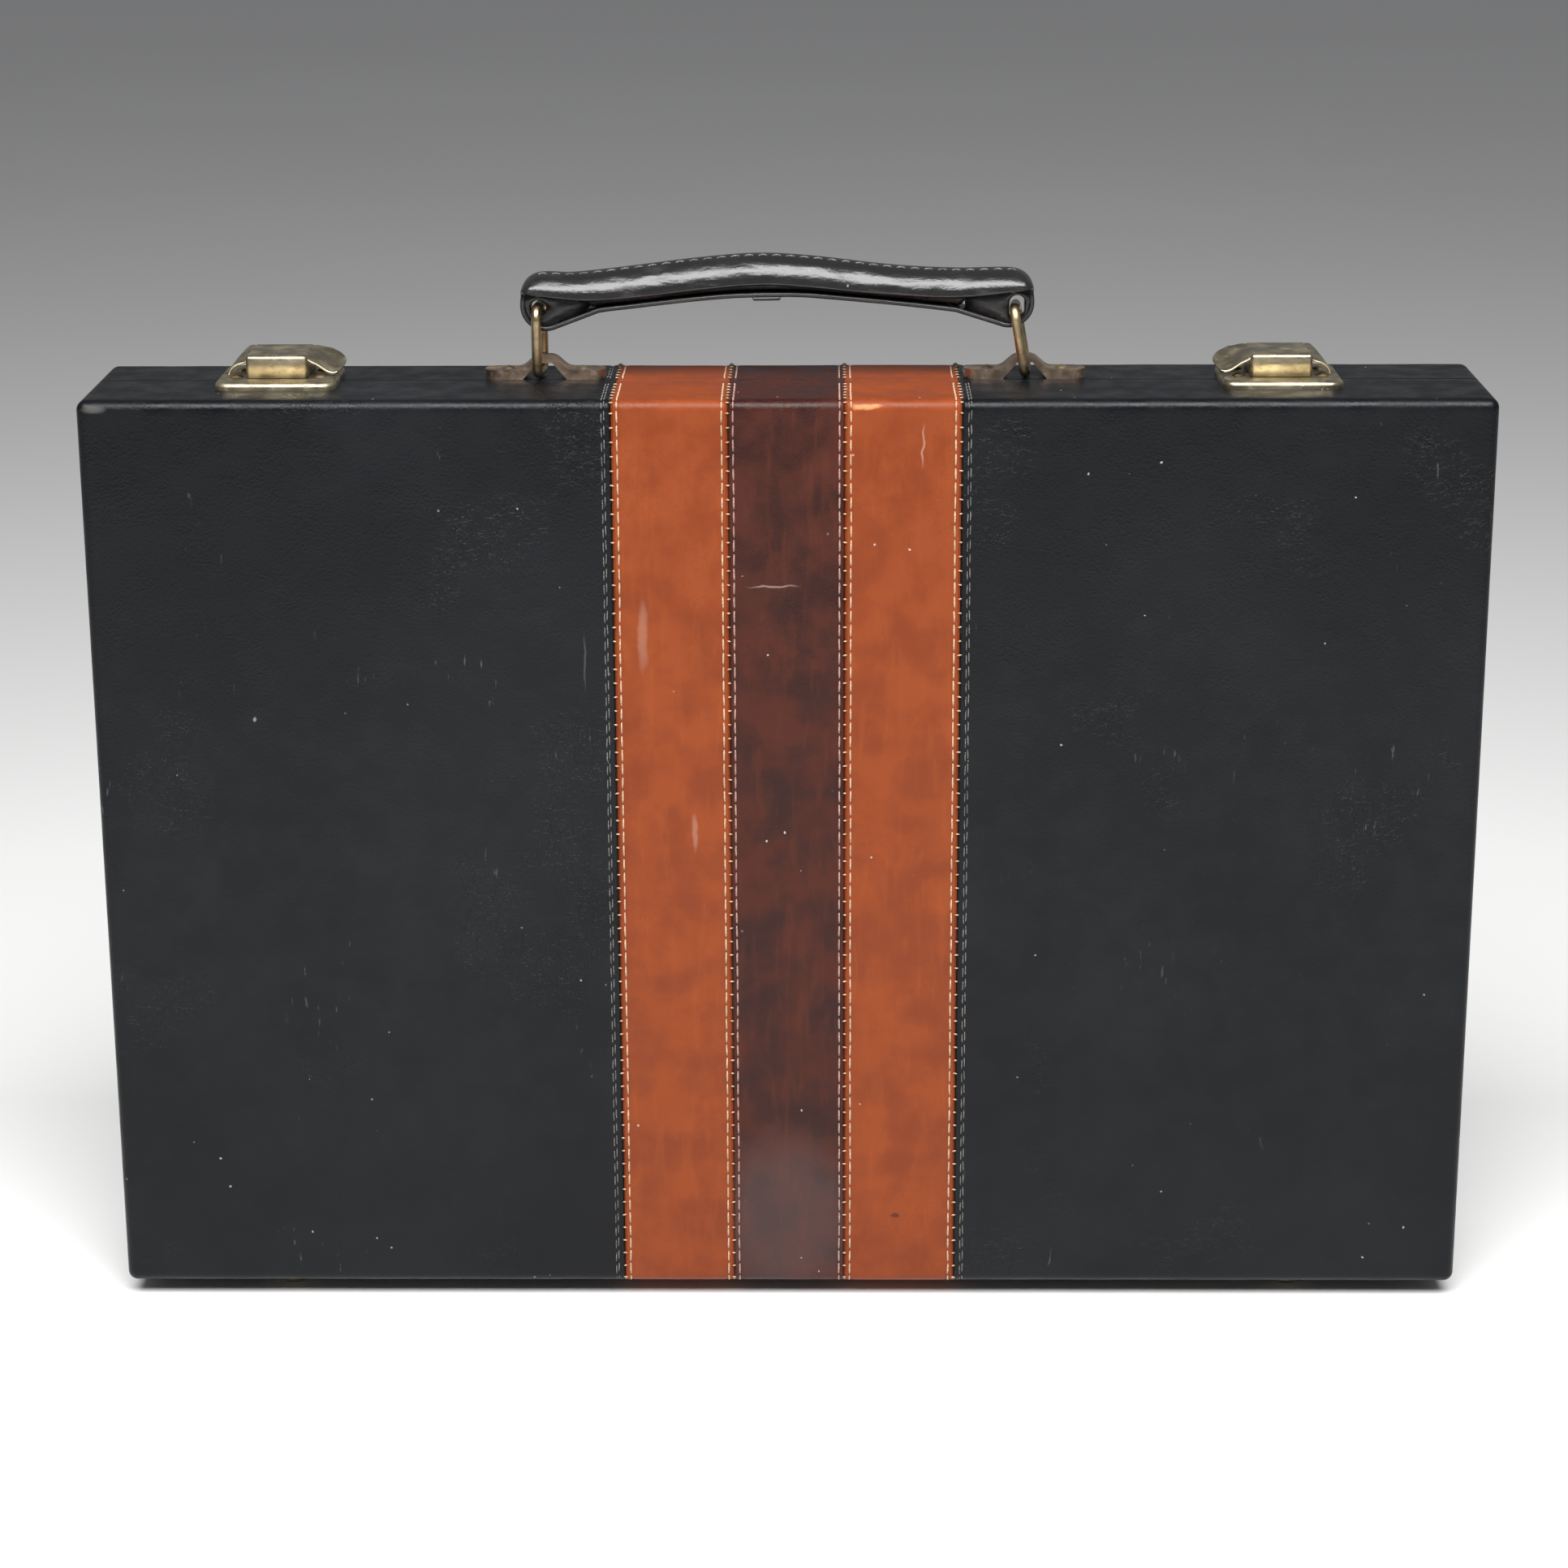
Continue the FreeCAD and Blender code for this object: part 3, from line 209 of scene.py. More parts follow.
def black_leatherette():
    surface = Surface("black_leatherette", roughness=0.36, specular=0.2)
    creases = leather(surface, grain=0.4, crease=0.4, crease_patches=(0.56, 0.68))
    cloud = surface.band(surface.noise(60.0, 4.0), 0.35, 0.7)
    colour = surface.blend(cloud, (0.0022, 0.0028, 0.0038), (0.0044, 0.0052, 0.0066))
    colour = surface.blend(surface.times(creases, 0.15), colour, (0.03, 0.03, 0.032))
    scuffs = surface.band(surface.noise(1.6, 4.0, surface.stretched(1.0, 1.0, 0.22)), 0.66, 0.74)
    scuffs = surface.times(scuffs, surface.band(surface.noise(34.0, 2.0), 0.58, 0.68))
    colour = surface.blend(surface.times(scuffs, 0.45), colour, (0.11, 0.11, 0.11))
    for centre, reach, strength in (
        ((-63.7, -31.5, 222.0), (0.5, 4.0, 11.5), 0.2),
        ((-170.0, -31.5, 203.0), (0.8, 4.0, 0.9), 1.0),
        ((-216.0, -29.0, 303.5), (5.0, 5.0, 1.6), 0.35),
    ):
        mark = surface.times(surface.spot(centre, reach, 0.4, 1.5), strength)
        colour = surface.blend(mark, colour, (0.16, 0.15, 0.14))
    surface.set("Base Color", add_dust(surface, colour, 0.8))
    surface.set("Roughness", surface.band(surface.noise(9.0, 4.0), 0.3, 0.72, 0.27, 0.44))
    return surface.material


def band_leather(name, dark, middle, light, streak, marks):
    """Mottled band leather: three tones in clouds, soft slanting streaks, painted shade in the creases, and
    marks of wear; the brown band's marks also hold a painted reflection of the floor.
    """
    surface = Surface(name, roughness=0.42, specular=0.22)
    creases = leather(surface, grain=0.4, crease=0.12)
    cloud = surface.band(surface.noise(13.0, 5.0), 0.32, 0.7)
    colour = surface.blend(cloud, dark, middle)
    streaks = surface.noise(3.4, 4.0, surface.stretched(1.0, 1.0, 0.16, (0.0, 14.0, 0.0)), 0.6)
    colour = surface.blend(surface.times(surface.band(streaks, 0.5, 0.72), streak), colour, light)
    blotch = surface.band(surface.noise(26.0, 3.0), 0.52, 0.7)
    colour = surface.blend(surface.times(blotch, 0.2), colour, dark)
    # painted shade: the creases are painted darker, towards the dark tone
    colour = surface.blend(surface.times(creases, 0.45), colour, dark)
    for centre, reach, tint, strength in marks:
        mark = surface.times(surface.spot(centre, reach, 0.45, 2.5), strength)
        colour = surface.blend(mark, colour, tint)
    surface.set("Base Color", add_dust(surface, colour, 0.6, (0.55, 0.5, 0.45)))
    surface.set("Roughness", surface.band(cloud, 0.0, 1.0, 0.36, 0.5))
    return surface.material


def orange_leather():
    pale, worn = (0.75, 0.62, 0.5), (0.7, 0.3, 0.12)
    marks = (
        ((-44.6, -31.5, 231.0), (2.2, 5.0, 15.0), pale, 0.08),
        ((-28.5, -31.5, 165.0), (1.3, 5.0, 8.0), pale, 0.1),
        ((25.5, -30.8, 305.0), (7.6, 1.4, 1.3), worn, 0.6),
        ((44.0, -31.5, 292.0), (0.5, 5.0, 9.0), pale, 0.16),
        ((36.5, -31.5, 31.0), (1.8, 5.0, 1.2), (0.02, 0.008, 0.005), 0.7),
    )
    return band_leather(
        "orange_leather", (0.155, 0.027, 0.0045), (0.21, 0.040, 0.007), (0.27, 0.060, 0.011), 0.2, marks
    )


def brown_leather():
    marks = (
        ((-3.0, -31.5, 247.0), (10.0, 5.0, 0.5), (0.4, 0.3, 0.27), 0.35),
        # painted reflection: this wide greyish patch low on the front stands for the pale floor reflected
        # there
        ((0.0, -31.5, 30.0), (30.0, 5.0, 40.0), (0.085, 0.06, 0.058), 0.35),
    )
    return band_leather(
        "brown_leather", (0.022, 0.0045, 0.003), (0.052, 0.010, 0.0045), (0.10, 0.022, 0.008), 0.22, marks
    )


def aged_brass(name, bright, dull, dark, roughness, tarnish=0.5, pits=0.5):
    """Worn plated metal: tarnish clouds, rubbed patches, pits and fine scratches."""
    surface = Surface(name, metallic=1.0, roughness=roughness)
    cloud = surface.band(surface.noise(5.0, 5.0), 0.38, 0.64)
    colour = surface.blend(cloud, dull, bright)
    stain = surface.band(surface.noise(2.6, 5.0, None, 0.4), 0.56, 0.7)
    colour = surface.blend(surface.times(stain, tarnish), colour, dark)
    holes = surface.band(surface.cells(1.1, "F1", surface.warped(2.0, 1.0)), 0.10, 0.2, 1.0, 0.0)
    holes = surface.times(holes, surface.band(surface.noise(3.5, 2.0), 0.5, 0.6))
    colour = surface.blend(surface.times(holes, pits), colour, dark)
    surface.set("Base Color", colour)
    rubbed = surface.band(surface.noise(7.0, 4.0), 0.3, 0.7, roughness - 0.08, roughness + 0.16)
    surface.set("Roughness", surface.plus(rubbed, surface.times(stain, 0.15)))
    surface.bump(surface.noise(0.5, 3.0, surface.stretched(0.12, 1.0, 1.0, (0.0, 0.0, 24.0))), 0.012)
    surface.bump(surface.noise(2.2, 2.0), 0.05)
    surface.bump(holes, -0.05)
    return surface.material


def thread(name, pale, dark):
    """Twisted sewing thread, dusty in places."""
    surface = Surface(name, roughness=0.85, specular=0.2, sheen=0.3)
    twist = surface.noise(0.22, 2.0, surface.stretched(1.0, 1.0, 0.5, (30.0, 35.0, 0.0)))
    colour = surface.blend(surface.band(twist, 0.35, 0.62), dark, pale)
    grime = surface.band(surface.noise(14.0, 3.0), 0.5, 0.7, 0.0, 0.55)
    surface.set("Base Color", surface.blend(grime, colour, dark))
    surface.bump(twist, 0.09)
    return surface.material


def handle_leather(name, roughness, dusty):
    surface = Surface(name, roughness=roughness, specular=0.5, coat=0.25)
    surface.shader.inputs["Coat Roughness"].default_value = 0.22
    surface.bump(surface.cells(0.7, "SMOOTH_F1", surface.warped(3.0, 1.0)), 0.035)
    folds = surface.noise(3.2, 3.0, surface.stretched(0.25, 1.0, 1.0), 0.5)
    surface.bump(folds, 0.28)
    surface.bump(surface.noise(9.0, 3.0), 0.5)
    wear = surface.band(surface.noise(5.0, 5.0, surface.stretched(0.35, 1.0, 1.0)), 0.5, 0.75)
    colour = surface.blend(surface.times(wear, dusty), (0.008, 0.008, 0.0085), (0.075, 0.068, 0.06))
    surface.set("Base Color", add_dust(surface, colour, 0.7))
    surface.set("Roughness", surface.band(wear, 0.0, 1.0, roughness, roughness + 0.2))
    return surface.material


def wood():
    surface = Surface("poplar_board", roughness=0.62, specular=0.3)
    rings = surface.noise(2.4, 4.0, surface.stretched(0.06, 1.0, 0.5), 1.2)
    colour = surface.blend(surface.band(rings, 0.3, 0.7), (0.36, 0.23, 0.12), (0.58, 0.42, 0.25))
    pores = surface.band(surface.noise(0.6, 2.0, surface.stretched(0.05, 1.0, 1.0)), 0.62, 0.7)
    surface.set("Base Color", surface.blend(surface.times(pores, 0.6), colour, (0.2, 0.12, 0.06)))
    surface.bump(rings, 0.08)
    surface.bump(pores, -0.06)
    return surface.material


def fuzzy(name, dark, pale, pile, depth):
    """Felt or flocking: short fibres that catch light at the edges."""
    surface = Surface(name, roughness=0.95, specular=0.1, sheen=0.7)
    surface.shader.inputs["Sheen Tint"].default_value = (*pale, 1.0)
    fibre = surface.noise(pile, 4.0, surface.warped(2.0, 1.5))
    nap = surface.band(surface.noise(30.0, 3.0), 0.35, 0.7)
    colour = surface.blend(surface.band(fibre, 0.3, 0.7), dark, pale)
    surface.set("Base Color", surface.blend(surface.times(nap, 0.35), colour, dark))
    surface.bump(fibre, depth)
    return surface.material


def steel():
    surface = Surface("spring_steel", metallic=1.0, roughness=0.3)
    lines = surface.noise(0.3, 3.0, surface.stretched(0.1, 1.0, 1.0))
    surface.set("Base Color", surface.blend(lines, (0.22, 0.21, 0.2), (0.5, 0.49, 0.47)))
    surface.set("Roughness", surface.band(surface.noise(4.0, 3.0), 0.3, 0.7, 0.22, 0.4))
    surface.bump(lines, 0.01)
    return surface.material


NICKEL = ((0.50, 0.44, 0.29), (0.33, 0.28, 0.17), (0.10, 0.07, 0.04))
STAIN = (0.09, 0.05, 0.025)
RING_TONES = ((0.52, 0.41, 0.24), (0.40, 0.31, 0.18), STAIN)
BRACKET_TONES = ((0.42, 0.31, 0.23), (0.32, 0.235, 0.175), STAIN)
LATCH_TONES = ((0.46, 0.40, 0.28), (0.36, 0.31, 0.21), NICKEL[2])
RIVET_TONES = ((0.45, 0.36, 0.22), (0.34, 0.26, 0.16), STAIN)
finish = {
    "black_leatherette": black_leatherette(),
    "orange_leather": orange_leather(),
    "brown_leather": brown_leather(),
    "felt": fuzzy("felt", (0.010, 0.055, 0.03), (0.03, 0.13, 0.075), 0.5, 0.12),
    "flocked_tray": fuzzy("flocked_tray", (0.008, 0.042, 0.024), (0.025, 0.11, 0.062), 0.35, 0.08),
    "pad": fuzzy("pad_felt", (0.010, 0.055, 0.03), (0.03, 0.13, 0.075), 0.5, 0.12),
    "board": wood(),
    "feet": aged_brass("foot_brass", *NICKEL, 0.36),
    "hinge_steel": aged_brass("hinge_steel", *NICKEL, 0.34),
    "spring_steel": steel(),
    "handle_leather": handle_leather("handle_leather", 0.26, 0.12),
    "strap_leather": handle_leather("strap_leather", 0.4, 0.18),
    "ring_brass": aged_brass("ring_brass", *RING_TONES, 0.28, 0.15, 0.1),
    "bracket_brass": aged_brass("bracket_brass", *BRACKET_TONES, 0.38, 0.15, 0.1),
    "latch_brass": aged_brass("latch_brass", *LATCH_TONES, 0.34, 0.22, 0.15),
    "rivets": aged_brass("rivet_brass", *RIVET_TONES, 0.30, 0.2, 0.1),
}
cream_thread = thread("cream_thread", (0.60, 0.42, 0.27), (0.30, 0.16, 0.08))
brown_thread = thread("brown_thread", (0.46, 0.27, 0.22), (0.18, 0.08, 0.06))
grey_thread = thread("grey_thread", (0.20, 0.185, 0.165), (0.03, 0.03, 0.03))
black_thread = thread("black_thread", (0.03, 0.028, 0.028), (0.008, 0.008, 0.008))

for part in frame["record"]["subparts"]:
    shown = frame["nodes"][part["node"]]
    shown.data.materials.clear()
    shown.data.materials.append(finish[part["material_slot"]])


# ---------------------------------------------------------------- mesh helpers


def mesh_piece(name, points, faces, body, slot, material=None, merge=0.0):
    """Makes a smooth piece from points in millimetres; merge joins points nearer than that."""
    mesh = bpy.data.meshes.new(name)
    mesh.from_pydata([point * MM for point in points], [], faces)
    if merge:
        work = bmesh.new()
        work.from_mesh(mesh)
        bmesh.ops.remove_doubles(work, verts=work.verts, dist=merge * MM)
        bmesh.ops.recalc_face_normals(work, faces=work.faces)
        work.to_mesh(mesh)
        work.free()
    mesh.materials.append(material or finish[slot])
    mesh.shade_smooth()
    piece = bpy.data.objects.new(name, mesh)
    scene.collection.objects.link(piece)
    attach(piece, body)
    return piece


def grid_faces(first, rows, columns, turned=False):
    """Quads over rows x columns points that start at number first."""
    quads = []
    for row in range(rows - 1):
        for column in range(columns - 1):
            a = first + row * columns + column
            quad = (a, a + 1, a + columns + 1, a + columns)
            quads.append(quad[::-1] if turned else quad)
    return quads


def through(knots, x):
    """A smooth line through (x, value) knots, by a Catmull-Rom curve on uneven knots."""
    if x <= knots[0][0]:
        return knots[0][1]
    if x >= knots[-1][0]:
        return knots[-1][1]
    place = next(number for number in range(len(knots) - 1) if x <= knots[number + 1][0])

    def slope(number):
        low, high = max(number - 1, 0), min(number + 1, len(knots) - 1)
        return (knots[high][1] - knots[low][1]) / (knots[high][0] - knots[low][0])

    (x0, v0), (x1, v1) = knots[place], knots[place + 1]
    run = x1 - x0
    t = (x - x0) / run
    rise = (2 * t**3 - 3 * t**2 + 1) * v0 + (3 * t**2 - 2 * t**3) * v1
    return rise + run * ((t**3 - 2 * t**2 + t) * slope(place) + (t**3 - t**2) * slope(place + 1))


def spread(low, high, step, fine=(), fine_reach=3.0, fine_step=0.35):
    """Numbers from low to high about step apart, and fine_step apart within fine_reach of fine."""
    made, at = [low], low
    while at < high:
        near = min((abs(at - mark) for mark in fine), default=1e9)
        ahead = min((mark - at for mark in fine if mark > at), default=1e9)
        stride = fine_step if near < fine_reach else min(step, max(ahead - fine_reach, fine_step))
        at += stride
        made.append(min(at, high))
    if len(made) > 2 and made[-1] - made[-2] < fine_step / 2:
        made.pop(-2)
    return made


class Threads:
    """Short lengths of thread gathered into one piece."""

    def __init__(self):
        self.points = []
        self.faces = []

    def tube(self, line, radii, sides=6):
        """A closed tube along a line of points, with its radius at each."""
        first = len(self.points)
        side = None
        for number, (middle, radius) in enumerate(zip(line, radii)):
            ahead = line[min(number + 1, len(line) - 1)] - line[max(number - 1, 0)]
            ahead.normalize()
            if side is None:
                side = ahead.orthogonal()
            side = (side - ahead * side.dot(ahead)).normalized()
            up = ahead.cross(side)
            for step in range(sides):
                angle = 2 * math.pi * step / sides
                self.points.append(middle + (side * math.cos(angle) + up * math.sin(angle)) * radius)
        for ring in range(len(line) - 1):
            for step in range(sides):
                a, b = first + ring * sides + step, first + ring * sides + (step + 1) % sides
                self.faces.append((a, b, b + sides, a + sides))
        last = first + (len(line) - 1) * sides
        self.faces.append(tuple(range(first + sides - 1, first - 1, -1)))
        self.faces.append(tuple(range(last, last + sides)))

    def finish(self, name, body, slot, material):
        return mesh_piece(name, self.points, self.faces, body, slot, material)


# ---------------------------------------------------------------- sewn covers

EDGE = 3.2  # outside rounding of the shell
ROLL = 0.45  # rounding over the rim at the parting
PROUD = 0.12  # how far the turned-in cover stands over the boards' rim
TURN_IN = 8.6  # how far the cover runs inwards over the rim
SEAM_HALF = 0.2
STITCH_PITCH = 4.6
STITCH_INSET = 1.8
FOLD_OUT = 2.6  # dusty fold and stitches on the black covers, outside the bands
low_left, _ = box_mm("lid_cover_left")
_, high_right = box_mm("lid_cover_right")
BAND_EDGES = [box_mm("lid_orange_band_left")[0].x - SEAM_HALF]
for band_node in ("lid_orange_band_left", "lid_brown_band", "lid_orange_band_right"):
    BAND_EDGES.append(box_mm(band_node)[1].x + SEAM_HALF)
FOLDS = (BAND_EDGES[0] - FOLD_OUT, BAND_EDGES[-1] + FOLD_OUT)
STITCH_LINES = [
    (edge + way * STITCH_INSET, band)
    for number, edge in enumerate(BAND_EDGES)
    for way, band in ((-1, number - 1), (1, number))
    if 0 <= band <= 2
]


class Half:
    """One half of the shell: its outer box, its rim and which way the rim faces."""

    def __init__(self, name, outer, rim):
        self.name = name
        self.outer = outer
        self.rim = rim
        self.way = 1 if rim > outer else -1
        self.low = Vector((low_left.x, min(outer, rim), low_left.z))
        self.high = Vector((high_right.x, max(outer, rim), high_right.z))
        self.middle = (low_left.z + high_right.z) / 2
        self.half_height = (high_right.z - low_left.z) / 2
        self.reach = self.half_height + abs(rim - outer)

    def raw(self, x, run):
        """A point of the unrounded box; run is measured from the middle of the outer face."""
        beyond = max(abs(run) - self.half_height, 0.0)
        z = self.middle + math.copysign(min(abs(run), self.half_height), run)
        return Vector((x, self.outer + self.way * beyond, z))

    def skin(self, raw, inward=0.0):
        """The rounded, turned-in cover's point and outward normal for a point of the raw box."""
        core = Vector(
            [min(max(raw[i], self.low[i] + EDGE), self.high[i] - EDGE) for i in range(3)]
        )
        if (self.outer - raw.y) * self.way < -EDGE:
            core.y = raw.y
        normal = (raw - core).normalized()
        point = core + normal * EDGE
        to_rim = abs(self.rim - raw.y)
        if to_rim < ROLL:
            turn = (1 - to_rim / ROLL) * QUARTER_TURN
            point -= normal * ROLL * (1 - math.cos(turn))
            point.y = self.rim + self.way * (PROUD - ROLL + ROLL * math.sin(turn))
            normal = normal * math.cos(turn) + Vector((0, self.way * math.sin(turn), 0))
        if inward:
            inner = Vector(
                (
                    min(max(point.x, self.low.x + TURN_IN), self.high.x - TURN_IN),
                    point.y,
                    min(max(point.z, self.low.z + TURN_IN), self.high.z - TURN_IN),
                )
            )
            point = point.lerp(inner, inward)
        return point, normal


lid_low, lid_high = box_mm("lid_cover_left")
base_low, base_high = box_mm("base_cover_left")
HALVES = (Half("lid", lid_low.y, lid_high.y), Half("base", base_high.y, base_low.y))


def run_of(half, raw):
    """How far along the band a raw point lies, from the middle of the outer face."""
    beyond = abs(raw.y - half.outer)
    if beyond < 1e-6:
        return raw.z - half.middle
    return math.copysign(half.half_height + beyond, raw.z - half.middle)


def sewn_height(x, run, leathery):
    """How far the cover stands above its even surface: folds at seams, puckers at needle holes."""
    height = 0.10 * leathery * noise.noise(Vector((x * 0.05, run * 0.035, 1.7)))
    height += 0.05 * noise.noise(Vector((x * 0.16, run * 0.13, 5.1)))
    seam = min(abs(x - edge) for edge in BAND_EDGES)
    if seam < 1.5:
        height -= 0.75 * (1 - seam / 1.5) ** 2.2
        height += 0.16 * math.exp(-(((seam - 1.1) / 0.45) ** 2))
    for line, _ in STITCH_LINES:
        away = abs(x - line)
        if away < 2.2:
            hole = 0.5 + 0.5 * math.cos(2 * math.pi * run / STITCH_PITCH)
            height -= (0.14 + 0.16 * hole**3) * math.exp(-((away / 0.62) ** 2))
    for fold in FOLDS:
        away = abs(x - fold)
        if away < 2.0:
            height -= 0.28 * math.exp(-((away / 0.5) ** 2))
    return height


def cover_piece(half, piece, x_low, x_high, slot):
    """One cover or band of a half, over its outer face, top, bottom, rim and, at an end, its side."""
    side_x = half.low.x if x_low <= half.low.x + 1e-3 else None
    side_x = half.high.x if x_high >= half.high.x - 1e-3 else side_x
    leathery = 1.0 if side_x is None else 0.8
    marks = BAND_EDGES + list(FOLDS) + [line for line, _ in STITCH_LINES]
    corners = (0.0, 0.5, 1.1, 1.8, 2.5, EDGE)
    xs = spread(x_low, x_high, 3.5, [mark for mark in marks if x_low - 1 < mark < x_high + 1], 1.5)
    if side_x is not None:
        xs = sorted(
            {x for x in xs if abs(x - side_x) > EDGE} | {side_x - math.copysign(c, side_x) for c in corners}
        )
    step = 1.15 if side_x is None else 2.3
    zs = spread(half.low.z + EDGE, half.high.z - EDGE, step)
    zs = [half.low.z + c for c in corners[:-1]] + zs + [half.high.z - c for c in corners[-2::-1]]
    outer_ys = [half.outer + half.way * c for c in corners]
    count = max(int(abs(half.rim - half.outer) / step), 4)
    start, end = outer_ys[-1], half.rim - half.way * ROLL
    ys = outer_ys + [start + (end - start) * n / count for n in range(1, count + 1)]
    ys += [half.rim - half.way * ROLL * (1 - n / 4) for n in range(1, 5)]
    inwards = (0.0, 0.12, 0.4, 0.7, 1.0)
    points, faces = [], []

    def lay(rows, columns, place):
        first = len(points)
        for row in rows:
            for column in columns:
                raw, inward = place(row, column)
                point, normal = half.skin(raw, inward)
                height = sewn_height(raw.x, run_of(half, raw), leathery)
                fade = 1 - inward
                if side_x is not None and abs(raw.x - side_x) < 12:
                    fade *= abs(raw.x - side_x) / 12
                near_rim = min(abs(half.rim - raw.y) / 2.0, 1.0)
                points.append(point + normal * height * fade * (0.35 + 0.65 * near_rim))
        faces.extend(grid_faces(first, len(rows), len(columns)))

    lay(zs, xs, lambda z, x: (Vector((x, half.outer, z)), 0.0))
    for z in (half.low.z, half.high.z):
        lay(ys, xs, lambda y, x, z=z: (Vector((x, y, z)), 0.0))
        lay(inwards, xs, lambda w, x, z=z: (Vector((x, half.rim, z)), w))
    if side_x is not None:
        lay(ys, zs, lambda y, z: (Vector((side_x, y, z)), 0.0))
        lay(inwards, zs, lambda w, z: (Vector((side_x, half.rim, z)), w))
    made = mesh_piece(f"{half.name}_{piece}_skin", points, faces, half.name, slot, merge=0.002)
    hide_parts(f"{half.name}_{piece}")
    return made


COVERS = {
    "cover_left": (low_left.x, BAND_EDGES[0], "black_leatherette"),
    "orange_band_left": (BAND_EDGES[0], BAND_EDGES[1], "orange_leather"),
    "brown_band": (BAND_EDGES[1], BAND_EDGES[2], "brown_leather"),
    "orange_band_right": (BAND_EDGES[2], BAND_EDGES[3], "orange_leather"),
    "cover_right": (BAND_EDGES[3], high_right.x, "black_leatherette"),
}
for half in HALVES:
    for piece, (x_low, x_high, slot) in COVERS.items():
        cover_piece(half, piece, x_low, x_high, slot)


# ---------------------------------------------------------------- stitches of the covers

draw = random.Random(11)
THREAD_RADIUS = 0.29


def stitch(threads, half, x, run, length, lift=0.3, radius=THREAD_RADIUS, lean=0.0):
    """One stitch along the band: it comes out of its needle hole, arches and goes back in."""
    line, radii = [], []
    for step in range(6):
        t = step / 5
        at = run + (t - 0.5) * length
        side = x + lean * (t - 0.5)
        point, normal = half.skin(half.raw(side, at))
        arch = math.sin(math.pi * t)
        height = sewn_height(side, at, 1.0)
        line.append(point + normal * (height - 0.22 + (lift + 0.12) * arch**0.6))
        radii.append(radius * (0.45 + 0.55 * arch**0.5))
    threads.tube(line, radii)


def tick(threads, half, x, run, reach):
    """A pointed stitch across a butt seam."""
    line, radii = [], []
    slant = draw.uniform(-0.25, 0.25)
    for step in range(5):
        t = step / 4
        side = x + (t - 0.5) * 2 * reach
        point, normal = half.skin(half.raw(side, run + slant * (t - 0.5)))
        arch = math.sin(math.pi * t)
        line.append(point + normal * (sewn_height(side, run, 1.0) * (1 - 0.75 * arch) + 0.05))
        radii.append(0.08 + 0.22 * arch)
    threads.tube(line, radii, 5)


def stitch_runs(half, pitch, end_gap=2.2):
    """Places of the stitches along one line, evenly from rim to rim."""
    count = int((half.reach - end_gap) / pitch)
    return [(number + 0.5) * pitch for number in range(-count, count)]


for half in HALVES:
    orange, brown, grey, seams = Threads(), Threads(), Threads(), Threads()
    for line, band in STITCH_LINES:
        bag = brown if band == 1 else orange
        for run in stitch_runs(half, STITCH_PITCH):
            wander = 0.16 * noise.noise(Vector((line, run * 0.05, 0.0)))
            length = STITCH_PITCH * draw.uniform(0.9, 0.99)
            stitch(bag, half, line + wander, run, length, lean=draw.uniform(-0.16, 0.16))
    for number, edge in enumerate(BAND_EDGES):
        for run in stitch_runs(half, STITCH_PITCH):
            tick(seams, half, edge + draw.uniform(-0.06, 0.06), run + 1.1, draw.uniform(0.5, 0.7))
    for fold in FOLDS:
        for run in stitch_runs(half, STITCH_PITCH):
            for shift in (-0.42, 0.42):
                stitch(grey, half, fold + shift, run + shift, 3.9, 0.2, 0.17, draw.uniform(-0.2, 0.2))
    for edge in BAND_EDGES:
        for end in (-1, 1):
            nub, normal = half.skin(half.raw(edge, end * (half.half_height + 1.0)))
            if half.name == "base":
                line = [nub + normal * lift for lift in (-0.4, 0.2, 0.7, 1.0)]
                grey.tube(line, (0.8, 1.0, 0.7, 0.2), 7)
    orange.finish(f"{half.name}_orange_stitches", half.name, "orange_leather", cream_thread)
    brown.finish(f"{half.name}_brown_stitches", half.name, "brown_leather", brown_thread)
    seams.finish(f"{half.name}_seam_stitches", half.name, "orange_leather", cream_thread)
    grey.finish(f"{half.name}_cover_stitches", half.name, "black_leatherette", grey_thread)


# ---------------------------------------------------------------- handle

grip_low, grip_high = box_mm("handle_grip")
CASE_TOP = high_right.z
HANDLE_TILT = 0.36
HANDLE_MIDDLE = Vector(((grip_low.x + grip_high.x) / 2 + 0.15, (grip_low.y + grip_high.y) / 2, CASE_TOP))
HANDLE_PLACE = Matrix.Translation(HANDLE_MIDDLE) @ Matrix.Rotation(math.radians(-HANDLE_TILT), 4, "Y")
GRIP_HALF = 82.1
GRIP_WIDE = 8.8
GRIP_ROOF = 26.9  # underside of the grip over the rings
END_HEIGHT = 26.6  # height at which the grip's rounded ends finish
END_START = 74.1
NECK_X = 60.0  # from here outwards the strap leaves the grip
# (along, height) knots of the grip's crown and lip and of the strap, few and listed
GRIP_TOP = (
    (-80, 34.4), (-73, 34.6), (-66, 34.3), (-52, 35.6), (-24, 38.8), (-6, 40.0), (10, 39.1),
    (38, 35.8), (58, 34.7), (72, 34.8), (80, 34.4),
)
GRIP_LIP = (
    (-82, 28.6), (-64, 26.4), (-50, 26.7), (-18, 30.1), (-4, 30.9), (10, 30.0), (34, 27.6),
    (58, 26.4), (82, 28.6),
)
STRAP_TOP = (
    (-66, 20.2), (-60, 23.1), (-46, 25.0), (-18, 27.8), (0, 28.3), (12, 27.9), (58, 22.9), (66, 20.2),
)
STRAP_THICK = 1.5
LOOP_X, LOOP_Z, LOOP_RADIUS = 74.1, 24.0, 8.0
RECESS_WIDE = 5.6
RING_WIRE = 3.2
EYE_RADIUS = 2.5
FOLD_TOP = 27.3
RIGHT_TRAVEL = 1.7  # how far the right ring's bar moves up and down in its eye
RIGHT_DRIFT = 0.85  # its middle place, in from the leaning ring's side


